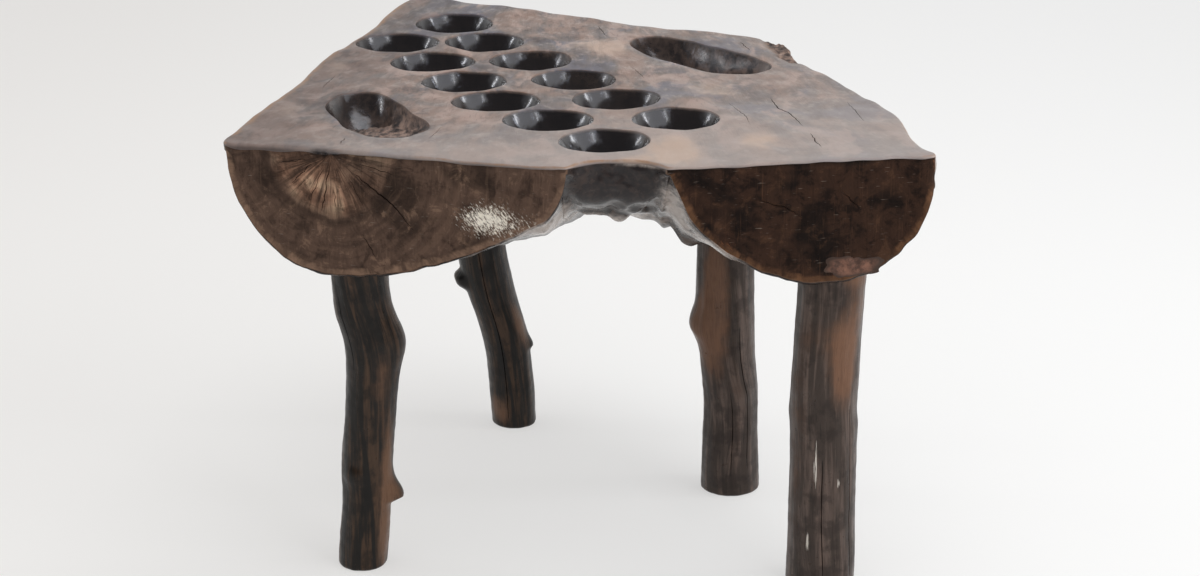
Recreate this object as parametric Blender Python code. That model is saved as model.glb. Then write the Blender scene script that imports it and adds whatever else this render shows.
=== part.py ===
"""Games table: a forked half log, its flat top carved with pits and stores, standing on four branch legs."""
import math

import bmesh
import bpy
import numpy as np
from mathutils import Matrix, Vector
from mathutils.bvhtree import BVHTree

# Driving dimensions in metres, angles in degrees. +X is right, +Y runs from the fork to the stem, +Z is up.
# Depths are measured down from the flat top, which lies at z = 0 until the table is stood up.
TABLE_HEIGHT = 0.500
FIT_GAP = 0.0003

# Plan of the slab: two sawn ends beside the natural fork, two log sides and a skew sawn stem end.
FORK_WIDTH = 0.105
FORK_RECESS = 0.031
FORK_SQUARENESS = 4
LEFT_END_WIDTH = 0.385
LEFT_END_TURN = 15.2
RIGHT_END_WIDTH = 0.295
RIGHT_END_TURN = 9.75
LEFT_SIDE_LENGTH = 0.764
LEFT_SIDE_LEAN = 12.8
RIGHT_SIDE_LENGTH = 0.516
RIGHT_SIDE_LEAN = 14.25
# Each wavy edge swells outward by these amounts as one to five half waves along its length.
LEFT_SIDE_WAVE = (0.0103, 0.0011, 0.0015, -0.0003, 0.0040)
RIGHT_SIDE_WAVE = (0.0043, 0.0086, -0.0059, -0.0005, -0.0036)
STEM_END_WAVE = (-0.0032, -0.0075, 0.0024, -0.0059, 0.0021)

# Depth of the log under the flat top, at the two ends, at the fork and at the stem.
LEFT_KEEL_DEPTH = 0.145
LEFT_KEEL_INSET = 0.125
LEFT_SHOULDER_DEPTH = 0.068
LEFT_SHOULDER_ROUND = 0.030
RIGHT_KEEL_DEPTH = 0.141
RIGHT_KEEL_INSET = 0.170
STEM_DEPTH = 0.165
FORK_LIP = 0.038
EDGE_LIP = 0.012
# The fork's lip thins out over this share of its width at each corner, and both ends start as thin beside it.
FORK_LIP_RUN = 0.24
RIGHT_INNER_SLOPE = 2.25
SWELL_LENGTH = 0.190
# Roundness of the log's sections: 2 is an ellipse, more is fuller.
LEFT_ROUNDNESS = 2.3
LEFT_SHOULDER_FALL = 1.75
LEFT_SHOULDER_ROUNDNESS = 1.5
RIGHT_INNER_ROUNDNESS = 1.7
RIGHT_OUTER_ROUNDNESS = 2.2
STEM_ROUNDNESS = 2.4

# Two slightly bent rows of pits, half a pitch out of step. The drift is how far the carver strayed, in mm.
PIT_DIAMETER = 0.100
PIT_DEPTH = 0.045
PIT_BRIDGE = 0.0057
ROW_BRIDGE = 0.0141
ROW_STEP = -0.050
ROW_HEADING = 29.5
ROW_BEND = 5.1
ROWS_MIDDLE = (-0.114, 0.379)
LEFT_ROW_DRIFT = ((11, -2), (10, -4), (0, -6), (-13, -5), (-6, 5), (1, 8))
RIGHT_ROW_DRIFT = ((-3, 7), (-9, 2), (0, -1), (2, -3), (-1, -3), (11, 0))
BOWL_ROUNDNESS = 2.4

# Two stores: place along and in from a slab edge, length, width and depth, and bearing of the long axis.
LEFT_STORE_ALONG = 0.118
LEFT_STORE_INSET = 0.152
LEFT_STORE_SIZE = (0.212, 0.102, 0.052)
LEFT_STORE_BEARING = -72.4
RIGHT_STORE_ALONG = 0.489
RIGHT_STORE_INSET = 0.122
RIGHT_STORE_SIZE = (0.243, 0.103, 0.055)
RIGHT_STORE_BEARING = -51.0

# Round tenons on the legs, in blind sockets, each spread by a wedge in a saw kerf.
TENON_DIAMETER = 0.040
TENON_LENGTH = 0.060
TENON_ROOT = 0.030
SOCKET_END_GAP = 0.0005
WEDGE_LENGTH = 0.032
WEDGE_WIDTH = 0.030
WEDGE_HEAD = 0.006
WEDGE_TIP = 0.002

# Filler let into the right end over its leg: place on the end, length, height and depth.
FILLER_ALONG = 0.097
FILLER_DROP = 0.124
FILLER_SIZE = (0.060, 0.026, 0.022)
FILLER_PROUD = 0.001

# Legs are four crooked branches. Half thickness and sideways sway are read at even steps from head to sole.
# A knot is: distance below the top, bearing (0 right, 90 back), height, and reach up and down the branch.
LEG_HEAD_SINK = 0.030
LEGS = {
    "leg_front_left": {
        "edge": "left_end", "along": 0.135, "inset": 0.0375, "foot_shift": (-0.004, 0.005),
        "half_thickness": (0.0325, 0.0315, 0.0310, 0.0295, 0.0288, 0.0275, 0.0270),
        "sway": (0.000, 0.004, 0.0145, 0.0115, 0.007, 0.004, 0.000),
        "knots": ((0.225, 8, 0.006, 0.022), (0.414, 0, 0.012, 0.008), (0.385, -110, 0.004, 0.012)),
    },
    "leg_front_right": {
        "edge": "right_end", "along": 0.101, "inset": 0.0410, "foot_shift": (-0.007, -0.014),
        "half_thickness": (0.0374, 0.0370, 0.0371, 0.0367, 0.0370, 0.0376, 0.0380),
        "sway": (0.001, -0.001, -0.003, -0.003, -0.0015, -0.001, 0.000),
        "knots": ((0.300, 150, 0.003, 0.015),),
    },
    "leg_back_left": {
        "edge": "left_side", "along": 0.4795, "inset": 0.1475, "foot_shift": (0.047, 0.025),
        "half_thickness": (0.0320, 0.0320, 0.0315, 0.0305, 0.0293, 0.0281, 0.0285),
        "sway": (0.000, -0.006, -0.010, -0.0075, 0.003, 0.0035, 0.000),
        "knots": ((0.300, 184, 0.012, 0.010), (0.391, -4, 0.005, 0.008)),
    },
    "leg_back_right": {
        "edge": "right_side", "along": 0.329, "inset": 0.1365, "foot_shift": (0.010, 0.004),
        "half_thickness": (0.0320, 0.0325, 0.0345, 0.0340, 0.0323, 0.0333, 0.0355),
        "sway": (0.000, -0.0015, -0.002, -0.002, 0.0025, 0.0015, 0.000),
        "knots": ((0.290, 186, 0.013, 0.015), (0.372, -70, 0.003, 0.010)),
    },
}

# Facets: columns across the left end, fork and right end, rows to the stem, and sides of the round forms.
END_COLUMNS = 14
FORK_COLUMNS = 6
SLAB_ROWS = 18
PIT_SIDES = 24
STORE_SIDES = 28
LEG_SIDES = 18
LEG_STATIONS = 12
TENON_SIDES = 20
FILLER_SIDES = 20
FILLER_BANDS = 10
BOWL_RINGS = (0, 18, 36, 54, 70, 84)
CUTTER_RISE = 0.010
SHARP_ANGLE = 35


def heading(degrees):
    """Unit vector in the plan, at this bearing from +X."""
    return np.array([math.cos(math.radians(degrees)), math.sin(math.radians(degrees))])


# Corners of the plan, reached from the middle of the fork's mouth, and each edge as its start and end.
FORK_LEFT = np.array([-FORK_WIDTH / 2, 0.0])
FORK_RIGHT = np.array([FORK_WIDTH / 2, 0.0])
FRONT_LEFT = FORK_LEFT + LEFT_END_WIDTH * heading(180 - LEFT_END_TURN)
FRONT_RIGHT = FORK_RIGHT + RIGHT_END_WIDTH * heading(RIGHT_END_TURN)
STEM_LEFT = FRONT_LEFT + LEFT_SIDE_LENGTH * heading(90 - LEFT_SIDE_LEAN)
STEM_RIGHT = FRONT_RIGHT + RIGHT_SIDE_LENGTH * heading(90 + RIGHT_SIDE_LEAN)
EDGES = {
    "left_end": (FRONT_LEFT, FORK_LEFT),
    "right_end": (FRONT_RIGHT, FORK_RIGHT),
    "left_side": (FRONT_LEFT, STEM_LEFT),
    "right_side": (FRONT_RIGHT, STEM_RIGHT),
}
FRONT_LENGTH = LEFT_END_WIDTH + FORK_WIDTH + RIGHT_END_WIDTH
FORK_START = LEFT_END_WIDTH / FRONT_LENGTH
FORK_END = (LEFT_END_WIDTH + FORK_WIDTH) / FRONT_LENGTH


def inward(edge):
    """Directions along an edge of the plan and into the slab from it."""
    start, end = EDGES[edge]
    along = (end - start) / np.linalg.norm(end - start)
    across = np.array([-along[1], along[0]])
    middle = (FORK_LEFT + STEM_LEFT + STEM_RIGHT) / 3
    return along, across if across @ (middle - start) > 0 else -across


def place(edge, along, inset):
    """Plan point at a distance along an edge and in from it."""
    direction, across = inward(edge)
    return EDGES[edge][0] + along * direction + inset * across


def wavy(start, end, wave, share, outward_sign):
    """Straight edge from start to end, swollen by half waves to one side."""
    run = end - start
    normal = outward_sign * np.array([-run[1], run[0]]) / np.linalg.norm(run)
    swell = sum(size * np.sin((count + 1) * np.pi * share) for count, size in enumerate(wave))
    return start + share[..., None] * run + swell[..., None] * normal


def front_edge(share):
    """Front of the plan: left end, fork and right end, as one curve."""
    left = FRONT_LEFT + (share / FORK_START)[..., None] * (FORK_LEFT - FRONT_LEFT)
    across = np.clip((share - FORK_START) / (FORK_END - FORK_START), 0, 1)
    recess = FORK_RECESS * (1 - np.abs(2 * across - 1) ** FORK_SQUARENESS)
    fork = np.stack([(across - 0.5) * FORK_WIDTH, recess], -1)
    run = (share - FORK_END) / (1 - FORK_END)
    right = FORK_RIGHT + run[..., None] * (FRONT_RIGHT - FORK_RIGHT)
    ends = np.where((share < FORK_START)[..., None], left, right)
    in_fork = (share >= FORK_START) & (share <= FORK_END)
    return np.where(in_fork[..., None], fork, ends)


def plan(share, back):
    """Patch between the four edges: share runs across the slab, back runs from the fork to the stem."""
    front = front_edge(share)
    stem = wavy(STEM_LEFT, STEM_RIGHT, STEM_END_WAVE, share, 1)
    left = wavy(FRONT_LEFT, STEM_LEFT, LEFT_SIDE_WAVE, back, 1)
    right = wavy(FRONT_RIGHT, STEM_RIGHT, RIGHT_SIDE_WAVE, back, -1)
    share, back = share[..., None], back[..., None]
    corners = (1 - back) * ((1 - share) * FRONT_LEFT + share * FRONT_RIGHT)
    corners = corners + back * ((1 - share) * STEM_LEFT + share * STEM_RIGHT)
    return (1 - back) * front + back * stem + (1 - share) * left + share * right - corners


def quarter(share, roundness):
    """Quarter of a superellipse: 0 at share 0, 1 at share 1 and beyond."""
    return (1 - (1 - np.clip(share, 0, 1)) ** roundness) ** (1 / roundness)


def left_end_depth(inset):
    """Half-round section of the left end, from its outer corner over the keel to the shoulder at the fork."""
    outer = LEFT_KEEL_DEPTH * quarter(inset / LEFT_KEEL_INSET, LEFT_ROUNDNESS)
    run = LEFT_END_WIDTH - LEFT_SHOULDER_ROUND - LEFT_KEEL_INSET
    fall = np.clip((inset - LEFT_KEEL_INSET) / run, 0, 1) ** LEFT_SHOULDER_FALL
    inner = LEFT_KEEL_DEPTH - (LEFT_KEEL_DEPTH - LEFT_SHOULDER_DEPTH) * fall
    corner = quarter((LEFT_END_WIDTH - inset) / LEFT_SHOULDER_ROUND, LEFT_SHOULDER_ROUNDNESS)
    return np.where(inset < LEFT_KEEL_INSET, outer, EDGE_LIP + (inner - EDGE_LIP) * corner)


def right_end_depth(inset):
    """Half-round section of the right end, from the fork over the keel to its outer corner."""
    inner = RIGHT_KEEL_DEPTH * quarter(inset / RIGHT_KEEL_INSET, RIGHT_INNER_ROUNDNESS)
    inner = np.minimum(inner, RIGHT_INNER_SLOPE * inset)
    rest = (RIGHT_END_WIDTH - inset) / (RIGHT_END_WIDTH - RIGHT_KEEL_INSET)
    outer = RIGHT_KEEL_DEPTH * quarter(rest, RIGHT_OUTER_ROUNDNESS)
    return np.where(inset < RIGHT_KEEL_INSET, inner, outer)


def fork_lip(share):
    """Lip over the fork: thin at both corners, rising by a smooth step to its full depth."""
    across = (share - FORK_START) / (FORK_END - FORK_START)
    rise = np.clip(np.minimum(across, 1 - across) / FORK_LIP_RUN, 0, 1)
    return EDGE_LIP + (FORK_LIP - EDGE_LIP) * rise * rise * (3 - 2 * rise)


def depth(share, back):
    """Depth of the log: the front section swells towards the stem's half-round section."""
    left = left_end_depth(share * FRONT_LENGTH)
    right = right_end_depth((share - FORK_END) * FRONT_LENGTH)
    front = np.where(share < FORK_START, left, np.where(share > FORK_END, right, fork_lip(share)))
    stem = STEM_DEPTH * quarter(1 - np.abs(2 * share - 1), STEM_ROUNDNESS)
    reach = back * np.linalg.norm(plan(share, back * 0 + 1) - plan(share, back * 0), axis=-1)
    swell = 1 - np.exp(-reach / SWELL_LENGTH)
    return np.maximum(front + (stem - front) * swell, EDGE_LIP)


def gathered(count):
    """Shares from 0 to 1 that crowd towards both ends."""
    return (1 - np.cos(np.pi * np.arange(count + 1) / count)) / 2


def slab_mesh():
    """Half log: a curved underside in triangles, walls up from its rim and one flat face on top."""
    left = gathered(END_COLUMNS) * FORK_START
    fork = FORK_START + np.arange(1, FORK_COLUMNS) / FORK_COLUMNS * (FORK_END - FORK_START)
    right = FORK_END + gathered(END_COLUMNS) * (1 - FORK_END)
    columns = np.concatenate([left, fork, right])
    share, back = np.meshgrid(columns, np.linspace(0, 1, SLAB_ROWS + 1), indexing="ij")
    points = np.concatenate([plan(share, back), -depth(share, back)[..., None]], -1)
    mesh = bmesh.new()
    bmesh.ops.create_grid(mesh, x_segments=len(columns) - 1, y_segments=SLAB_ROWS, size=1)
    for vert in mesh.verts:
        column = round((vert.co.x + 1) / 2 * (len(columns) - 1))
        row = round((vert.co.y + 1) / 2 * SLAB_ROWS)
        vert.co = points[column, row]
    bmesh.ops.triangulate(mesh, faces=mesh.faces[:])
    rim = [edge for edge in mesh.edges if edge.is_boundary]
    walls = bmesh.ops.extrude_edge_only(mesh, edges=rim)
    for item in walls["geom"]:
        if isinstance(item, bmesh.types.BMVert):
            item.co.z = 0
    bmesh.ops.contextual_create(mesh, geom=[edge for edge in mesh.edges if edge.is_boundary])
    bmesh.ops.recalc_face_normals(mesh, faces=mesh.faces)
    return mesh


def loft(rings):
    """Closed skin over a stack of rings, capped flat at both ends."""
    mesh = bmesh.new()
    rows = [[mesh.verts.new(point) for point in ring] for ring in rings]
    sides = len(rows[0])
    for lower, upper in zip(rows, rows[1:]):
        for side in range(sides):
            following = (side + 1) % sides
            mesh.faces.new((lower[side], lower[following], upper[following], upper[side]))
    mesh.faces.new(rows[0][::-1])
    mesh.faces.new(rows[-1])
    bmesh.ops.recalc_face_normals(mesh, faces=mesh.faces)
    return mesh


def bowl(centre, size, bearing, sides):
    """Carved hollow of length, width and depth, with a rounded floor, open above the top."""
    turn = np.linspace(0, 2 * np.pi, sides, endpoint=False)
    long_half = heading(bearing) * size[0] / 2
    short_half = heading(bearing + 90) * size[1] / 2
    outline = np.cos(turn)[:, None] * long_half + np.sin(turn)[:, None] * short_half
    rings = [np.column_stack([centre + outline, np.full(sides, CUTTER_RISE)])]
    for angle in np.radians(BOWL_RINGS):
        shrink = math.cos(angle) ** (2 / BOWL_ROUNDNESS)
        drop = -size[2] * math.sin(angle) ** (2 / BOWL_ROUNDNESS)
        rings.append(np.column_stack([centre + outline * shrink, np.full(sides, drop)]))
    return loft(rings[::-1])


def pit_centres():
    """Two rows along parallel arcs, one half a pitch ahead, with the carver's drift added."""
    pitch = PIT_DIAMETER + PIT_BRIDGE
    spread = PIT_DIAMETER + ROW_BRIDGE
    centres = []
    for side, drift in ((-1, LEFT_ROW_DRIFT), (1, RIGHT_ROW_DRIFT)):
        steps = (np.arange(len(drift)) - (len(drift) - 1) / 2) * pitch + side * ROW_STEP / 2
        curve = math.radians(ROW_BEND) / (pitch * (len(drift) - 1))
        turn = math.radians(ROW_HEADING) + curve * steps
        start = math.radians(ROW_HEADING)
        x = ROWS_MIDDLE[0] + (math.cos(start) - np.cos(turn)) / curve + side * spread / 2 * np.cos(turn)
        y = ROWS_MIDDLE[1] - (np.sin(turn) - math.sin(start)) / curve + side * spread / 2 * np.sin(turn)
        centres.extend(np.column_stack([x, y]) + np.array(drift) / 1000)
    return centres


def smooth(values, share):
    """Smooth curve through evenly spaced values, read at shares from 0 to 1."""
    spans = len(values) - 1
    step = np.minimum((share * spans).astype(int), spans - 1)
    rest = share * spans - step
    padded = np.pad(np.array(values), 1, mode="edge")
    before, here, there, after = (padded[step + offset] for offset in range(4))
    rise = (there - before) / 2
    fall = (after - here) / 2
    return ((2 * (here - there) + rise + fall) * rest + (3 * (there - here) - 2 * rise - fall)) * rest ** 2 \
        + rise * rest + here


def branch(leg, head, head_height, grow=0.0):
    """Crooked round branch from inside the slab down to the floor, with its knots, grown by a clearance."""
    drop = head_height + TABLE_HEIGHT
    around_knots = [down + step * reach for down, _, _, reach in leg["knots"] for step in (-1, 0, 1)]
    at_knots = (head_height + np.array(around_knots)) / drop
    share = np.unique(np.round(np.concatenate([np.linspace(0, 1, LEG_STATIONS), at_knots]), 4))
    height = head_height - share * drop
    turn = np.linspace(0, 2 * np.pi, LEG_SIDES, endpoint=False)
    half = smooth(leg["half_thickness"], share)
    radius = np.repeat(half[:, None], LEG_SIDES, 1) + grow
    for down, bearing, rise, reach in leg["knots"]:
        away = np.angle(np.exp(1j * (turn - math.radians(bearing)))) * half.mean() / reach
        up = (height + down) / reach
        radius = radius + rise * np.exp(-up[:, None] ** 2 - 0.5 * away ** 2)
    centre = head + share[:, None] * np.array(leg["foot_shift"])
    x = centre[:, 0, None] + smooth(leg["sway"], share)[:, None] + radius * np.cos(turn)
    y = centre[:, 1, None] + radius * np.sin(turn)
    z = np.repeat(height[:, None], LEG_SIDES, 1)
    return loft(np.stack([x, y, z], -1)[::-1])


def peg(centre, radius, low, high):
    """Upright cylinder between two heights."""
    mesh = bmesh.new()
    spot = Matrix.Translation((*centre, (low + high) / 2))
    bmesh.ops.create_cone(mesh, cap_ends=True, segments=TENON_SIDES, radius1=radius, radius2=radius,
                          depth=high - low, matrix=spot)
    return mesh


def wedge_mesh(centre, top, width, grow=0.0, rise=0.0):
    """Tapered wedge, thick end up, broad across the grain of the slab."""
    slope = (WEDGE_HEAD - WEDGE_TIP) / WEDGE_LENGTH
    rings = []
    for level in (top - WEDGE_LENGTH - grow, top + rise):
        thick = WEDGE_HEAD + slope * (level - top) + 2 * grow
        corners = [(-1, -1), (1, -1), (1, 1), (-1, 1)]
        rings.append([(centre[0] + a * width / 2, centre[1] + b * thick / 2, level) for a, b in corners])
    return loft(rings)


def filler_mesh(grow=0.0, proud=FILLER_PROUD):
    """Lens of filler on the right end, cut off flat a little proud of the sawn face."""
    along, into = inward("right_end")
    spot = Vector((*place("right_end", FILLER_ALONG, 0), -FILLER_DROP))
    axes = Matrix(((along[0], into[0], 0), (along[1], into[1], 0), (0, 0, 1))).to_4x4()
    half = [size / 2 + grow for size in (FILLER_SIZE[0], FILLER_SIZE[2], FILLER_SIZE[1])]
    mesh = bmesh.new()
    bmesh.ops.create_uvsphere(mesh, u_segments=FILLER_SIDES, v_segments=FILLER_BANDS, radius=1)
    lens = Matrix.Translation(spot) @ axes @ Matrix.Diagonal((*half, 1))
    bmesh.ops.transform(mesh, matrix=lens, verts=mesh.verts)
    facing = Vector((*-into, 0))
    face = spot + facing * proud
    everything = mesh.verts[:] + mesh.edges[:] + mesh.faces[:]
    bmesh.ops.bisect_plane(mesh, geom=everything, plane_co=face, plane_no=facing, clear_outer=True)
    bmesh.ops.holes_fill(mesh, edges=[edge for edge in mesh.edges if edge.is_boundary])
    bmesh.ops.recalc_face_normals(mesh, faces=mesh.faces)
    return mesh


def finish(name, colour, roughness):
    """Plain oiled or filled wood surface."""
    material = bpy.data.materials.new(name)
    material.use_nodes = True
    shader = material.node_tree.nodes["Principled BSDF"]
    shader.inputs["Base Color"].default_value = (*colour, 1)
    shader.inputs["Roughness"].default_value = roughness
    return material


def add(name, mesh, material=None):
    """Object from a mesh, riding on the table. With no material it is a hidden cutter."""
    data = bpy.data.meshes.new(name)
    mesh.to_mesh(data)
    mesh.free()
    piece = bpy.data.objects.new(name, data)
    bpy.context.collection.objects.link(piece)
    piece.parent = TABLE
    if material:
        data.materials.append(material)
        data.shade_smooth()
        data.set_sharp_from_angle(angle=math.radians(SHARP_ANGLE))
    else:
        piece.hide_render = True
        piece.display_type = "WIRE"
    return piece


def boolean(piece, other, operation):
    """Cut or join another object into a piece."""
    modifier = piece.modifiers.new(other.name, "BOOLEAN")
    modifier.operation = operation
    modifier.object = other
    modifier.solver = "EXACT"


for old in list(bpy.data.objects):
    bpy.data.objects.remove(old, do_unlink=True)
TABLE = bpy.data.objects.new("games_table", None)
bpy.context.collection.objects.link(TABLE)

dark_top = finish("oiled_dark_slab", (0.060, 0.038, 0.030), 0.38)
dark_leg = finish("rubbed_branch_wood", (0.022, 0.014, 0.011), 0.45)
plain_wood = finish("split_wedge_wood", (0.300, 0.180, 0.090), 0.60)
red_filler = finish("reddish_wood_filler", (0.150, 0.055, 0.038), 0.60)

# The slab, and the same blank again to scribe the legs to its underside.
slab = add("slab", slab_mesh(), dark_top)
blank = add("slab_blank", slab_mesh())
seat = add("slab_blank_lowered", slab_mesh())
seat.location.z = -FIT_GAP
slab_points = [vertex.co.copy() for vertex in slab.data.vertices]
underside = BVHTree.FromPolygons(slab_points, [polygon.vertices[:] for polygon in slab.data.polygons])

# Pits and stores.
pit_size = (PIT_DIAMETER, PIT_DIAMETER, PIT_DEPTH)
for number, centre in enumerate(pit_centres(), 1):
    boolean(slab, add(f"pit_{number}", bowl(centre, pit_size, 0, PIT_SIDES)), "DIFFERENCE")
left_store = place("left_end", LEFT_STORE_ALONG, LEFT_STORE_INSET)
right_store = place("right_side", RIGHT_STORE_ALONG, RIGHT_STORE_INSET)
left_hollow = bowl(left_store, LEFT_STORE_SIZE, LEFT_STORE_BEARING, STORE_SIDES)
right_hollow = bowl(right_store, RIGHT_STORE_SIZE, RIGHT_STORE_BEARING, STORE_SIDES)
boolean(slab, add("left_store", left_hollow), "DIFFERENCE")
boolean(slab, add("right_store", right_hollow), "DIFFERENCE")

# Legs with their tenons, sockets, kerfs and wedges.
for name, leg in LEGS.items():
    head = place(leg["edge"], leg["along"], leg["inset"])
    seat_height = underside.ray_cast((*head, -TABLE_HEIGHT), (0, 0, 1))[0].z
    tenon_top = seat_height + TENON_LENGTH
    limb = add(name, branch(leg, head, seat_height + LEG_HEAD_SINK), dark_leg)
    boolean(limb, seat, "DIFFERENCE")
    tenon = peg(head, TENON_DIAMETER / 2, seat_height - TENON_ROOT, tenon_top)
    boolean(limb, add(f"{name}_tenon", tenon), "UNION")
    kerf = wedge_mesh(head, tenon_top, 2 * TENON_DIAMETER, FIT_GAP, CUTTER_RISE)
    boolean(limb, add(f"{name}_kerf", kerf), "DIFFERENCE")
    socket_top = tenon_top + SOCKET_END_GAP
    socket = peg(head, TENON_DIAMETER / 2 + FIT_GAP, seat_height - 2 * TENON_ROOT, socket_top)
    boolean(slab, add(f"{name}_socket", socket), "DIFFERENCE")
    add(name.replace("leg", "tenon_wedge"), wedge_mesh(head, tenon_top, WEDGE_WIDTH), plain_wood)

# Filler in its pocket, clear of the leg's head.
repaired = LEGS["leg_front_right"]
repaired_head = place(repaired["edge"], repaired["along"], repaired["inset"])
repaired_seat = underside.ray_cast((*repaired_head, -TABLE_HEIGHT), (0, 0, 1))[0].z
clearance = add("leg_clearance", branch(repaired, repaired_head, repaired_seat + LEG_HEAD_SINK, FIT_GAP))
boolean(clearance, blank, "DIFFERENCE")
boolean(slab, add("filler_pocket", filler_mesh(FIT_GAP, FILLER_SIZE[2])), "DIFFERENCE")
filler = add("joint_filler_front_right", filler_mesh(), red_filler)
boolean(filler, clearance, "DIFFERENCE")

# Stand the table on the floor with the origin under the middle of its box.
bpy.context.view_layer.update()
ready = bpy.context.evaluated_depsgraph_get()
solids = [piece.evaluated_get(ready) for piece in TABLE.children if not piece.hide_render]
corners = np.array([solid.matrix_world @ Vector(corner) for solid in solids for corner in solid.bound_box])
middle = (corners.min(0) + corners.max(0)) / 2
TABLE.location = (-middle[0], -middle[1], TABLE_HEIGHT)
print("table stands at", [round(value, 5) for value in TABLE.location])
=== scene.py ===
# %% [markdown]
# # A forked log that became a games table
# The real table is half of a forked log, flat side up, on four branch legs. Rows of seed pits and two
# long stores are carved into its top. The CAD frame already holds the sizes and the joints, so this
# lesson dresses it: every piece that shows is worked out again as a finer surface with worn edges, checks
# and knots, and each kind of wood gets a finish of its own.

# %% Load the frame
import math

import bmesh
import bpy
import numpy as np
from mathutils.geometry import delaunay_2d_cdt
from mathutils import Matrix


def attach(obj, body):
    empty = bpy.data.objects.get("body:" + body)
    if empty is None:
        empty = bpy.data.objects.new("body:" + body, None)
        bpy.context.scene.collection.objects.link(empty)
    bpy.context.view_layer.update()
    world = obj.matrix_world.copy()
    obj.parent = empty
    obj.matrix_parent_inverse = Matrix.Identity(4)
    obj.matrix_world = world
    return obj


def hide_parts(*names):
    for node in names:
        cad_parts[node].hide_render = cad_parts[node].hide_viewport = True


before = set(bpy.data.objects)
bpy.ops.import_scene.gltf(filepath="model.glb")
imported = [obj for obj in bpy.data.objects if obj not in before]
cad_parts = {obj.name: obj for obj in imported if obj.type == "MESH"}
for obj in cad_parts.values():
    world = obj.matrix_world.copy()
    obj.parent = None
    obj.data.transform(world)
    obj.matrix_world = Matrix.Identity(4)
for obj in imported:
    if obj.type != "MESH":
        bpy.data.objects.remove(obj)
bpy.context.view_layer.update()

print("CAD nodes:", len(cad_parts))

# %% [markdown]
# ## The camera
# A long lens a little above the table makes the top look shallow and puts the fork in front. The pit
# mouths are round and level, so a pinhole camera was fitted to them, which gave the lens, the height and
# the tilt. Blender's camera looks down its own Z axis: a turn of 90 degrees about X looks level, a little
# less looks down.

# %% Camera
IMAGE_WIDTH = 1200
FOCAL_PIXELS = 3000
SENSOR_MM = 36
LOOK_DOWN = 18.22
CAMERA_SPOT = (0.0229, -3.4725, 1.369)

camera_data = bpy.data.cameras.new("camera")
camera_data.sensor_width = SENSOR_MM
camera_data.lens = SENSOR_MM * FOCAL_PIXELS / IMAGE_WIDTH
camera = bpy.data.objects.new("camera", camera_data)
camera.location = CAMERA_SPOT
camera.rotation_euler = (math.radians(90 - LOOK_DOWN), 0, 0)
bpy.context.scene.collection.objects.link(camera)
bpy.context.scene.camera = camera
print("lens of", round(camera_data.lens), "mm")

# %% [markdown]
# ## Plan of the log
# Seen from above the slab has a front with two sawn ends and the fork between them, two log sides and a
# skew stem end. The outline is one closed curve with a running number: 0 to 1 is the front from left to
# right, 1 to 2 the right side, 2 to 3 the stem end and 3 to 4 the left side. One formula for the whole
# rim lets the worn edge, the walls and the flat top share the same points. Lengths are in metres and
# turns in degrees.

# %% Outline
TOP = 0.500
FORK_MOUTH = np.array([0.0404, -0.42298])
FORK_WIDTH, FORK_RECESS, FORK_SQUARENESS = 0.105, 0.031, 4
LEFT_WIDTH, LEFT_TURN = 0.385, 15.2
RIGHT_WIDTH, RIGHT_TURN = 0.295, 9.75
LEFT_LENGTH, LEFT_LEAN = 0.764, 12.8
RIGHT_LENGTH, RIGHT_LEAN = 0.516, 14.25
RIGHT_SWELL = (0.0043, 0.0086, -0.0059, -0.0005, -0.0036)
STEM_SWELL = (-0.0032, 0.0075, 0.0024, 0.0059, 0.0021)
LEFT_SWELL = (0.0103, -0.0011, 0.0015, 0.0003, 0.0040)


def heading(degrees):
    """Unit vector in the plan at this bearing: cosine and sine."""
    return np.array([math.cos(math.radians(degrees)), math.sin(math.radians(degrees))])


FORK_LEFT = FORK_MOUTH - [FORK_WIDTH / 2, 0]
FORK_RIGHT = FORK_MOUTH + [FORK_WIDTH / 2, 0]
FRONT_LEFT = FORK_LEFT - LEFT_WIDTH * heading(-LEFT_TURN)
FRONT_RIGHT = FORK_RIGHT + RIGHT_WIDTH * heading(RIGHT_TURN)
STEM_LEFT = FRONT_LEFT + LEFT_LENGTH * heading(90 - LEFT_LEAN)
STEM_RIGHT = FRONT_RIGHT + RIGHT_LENGTH * heading(90 + RIGHT_LEAN)
FRONT_LENGTH = LEFT_WIDTH + FORK_WIDTH + RIGHT_WIDTH
FORK_START = LEFT_WIDTH / FRONT_LENGTH
FORK_END = 1 - RIGHT_WIDTH / FRONT_LENGTH


def swollen(start, end, swells, share):
    """Straight line from start to end, pushed outward by one to five half sine waves."""
    run = end - start
    outward = np.array([run[1], -run[0]]) / np.linalg.norm(run)
    swell = sum(size * np.sin((count + 1) * np.pi * share) for count, size in enumerate(swells))
    return start + share[:, None] * run + swell[:, None] * outward


def outline(number):
    """Point of the rim at a running number from 0 to 4; the fork is a flat-bottomed power curve."""
    side, share = np.divmod(number, 1)
    along_left = FRONT_LEFT + (share / FORK_START)[:, None] * (FORK_LEFT - FRONT_LEFT)
    across = np.clip((share - FORK_START) / (FORK_END - FORK_START), 0, 1)
    recess = FORK_RECESS * (1 - np.abs(2 * across - 1) ** FORK_SQUARENESS)
    fork = FORK_LEFT + np.stack([across * FORK_WIDTH, recess], -1)
    along_right = FORK_RIGHT + ((share - FORK_END) / (1 - FORK_END))[:, None] * (FRONT_RIGHT - FORK_RIGHT)
    front = np.where((share < FORK_START)[:, None], along_left, fork)
    front = np.where((share > FORK_END)[:, None], along_right, front)
    right = swollen(FRONT_RIGHT, STEM_RIGHT, RIGHT_SWELL, share)
    stem = swollen(STEM_RIGHT, STEM_LEFT, STEM_SWELL, share)
    left = swollen(STEM_LEFT, FRONT_LEFT, LEFT_SWELL, share)
    return np.select([(side == place)[:, None] for place in range(4)], [front, right, stem, left])


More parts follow.
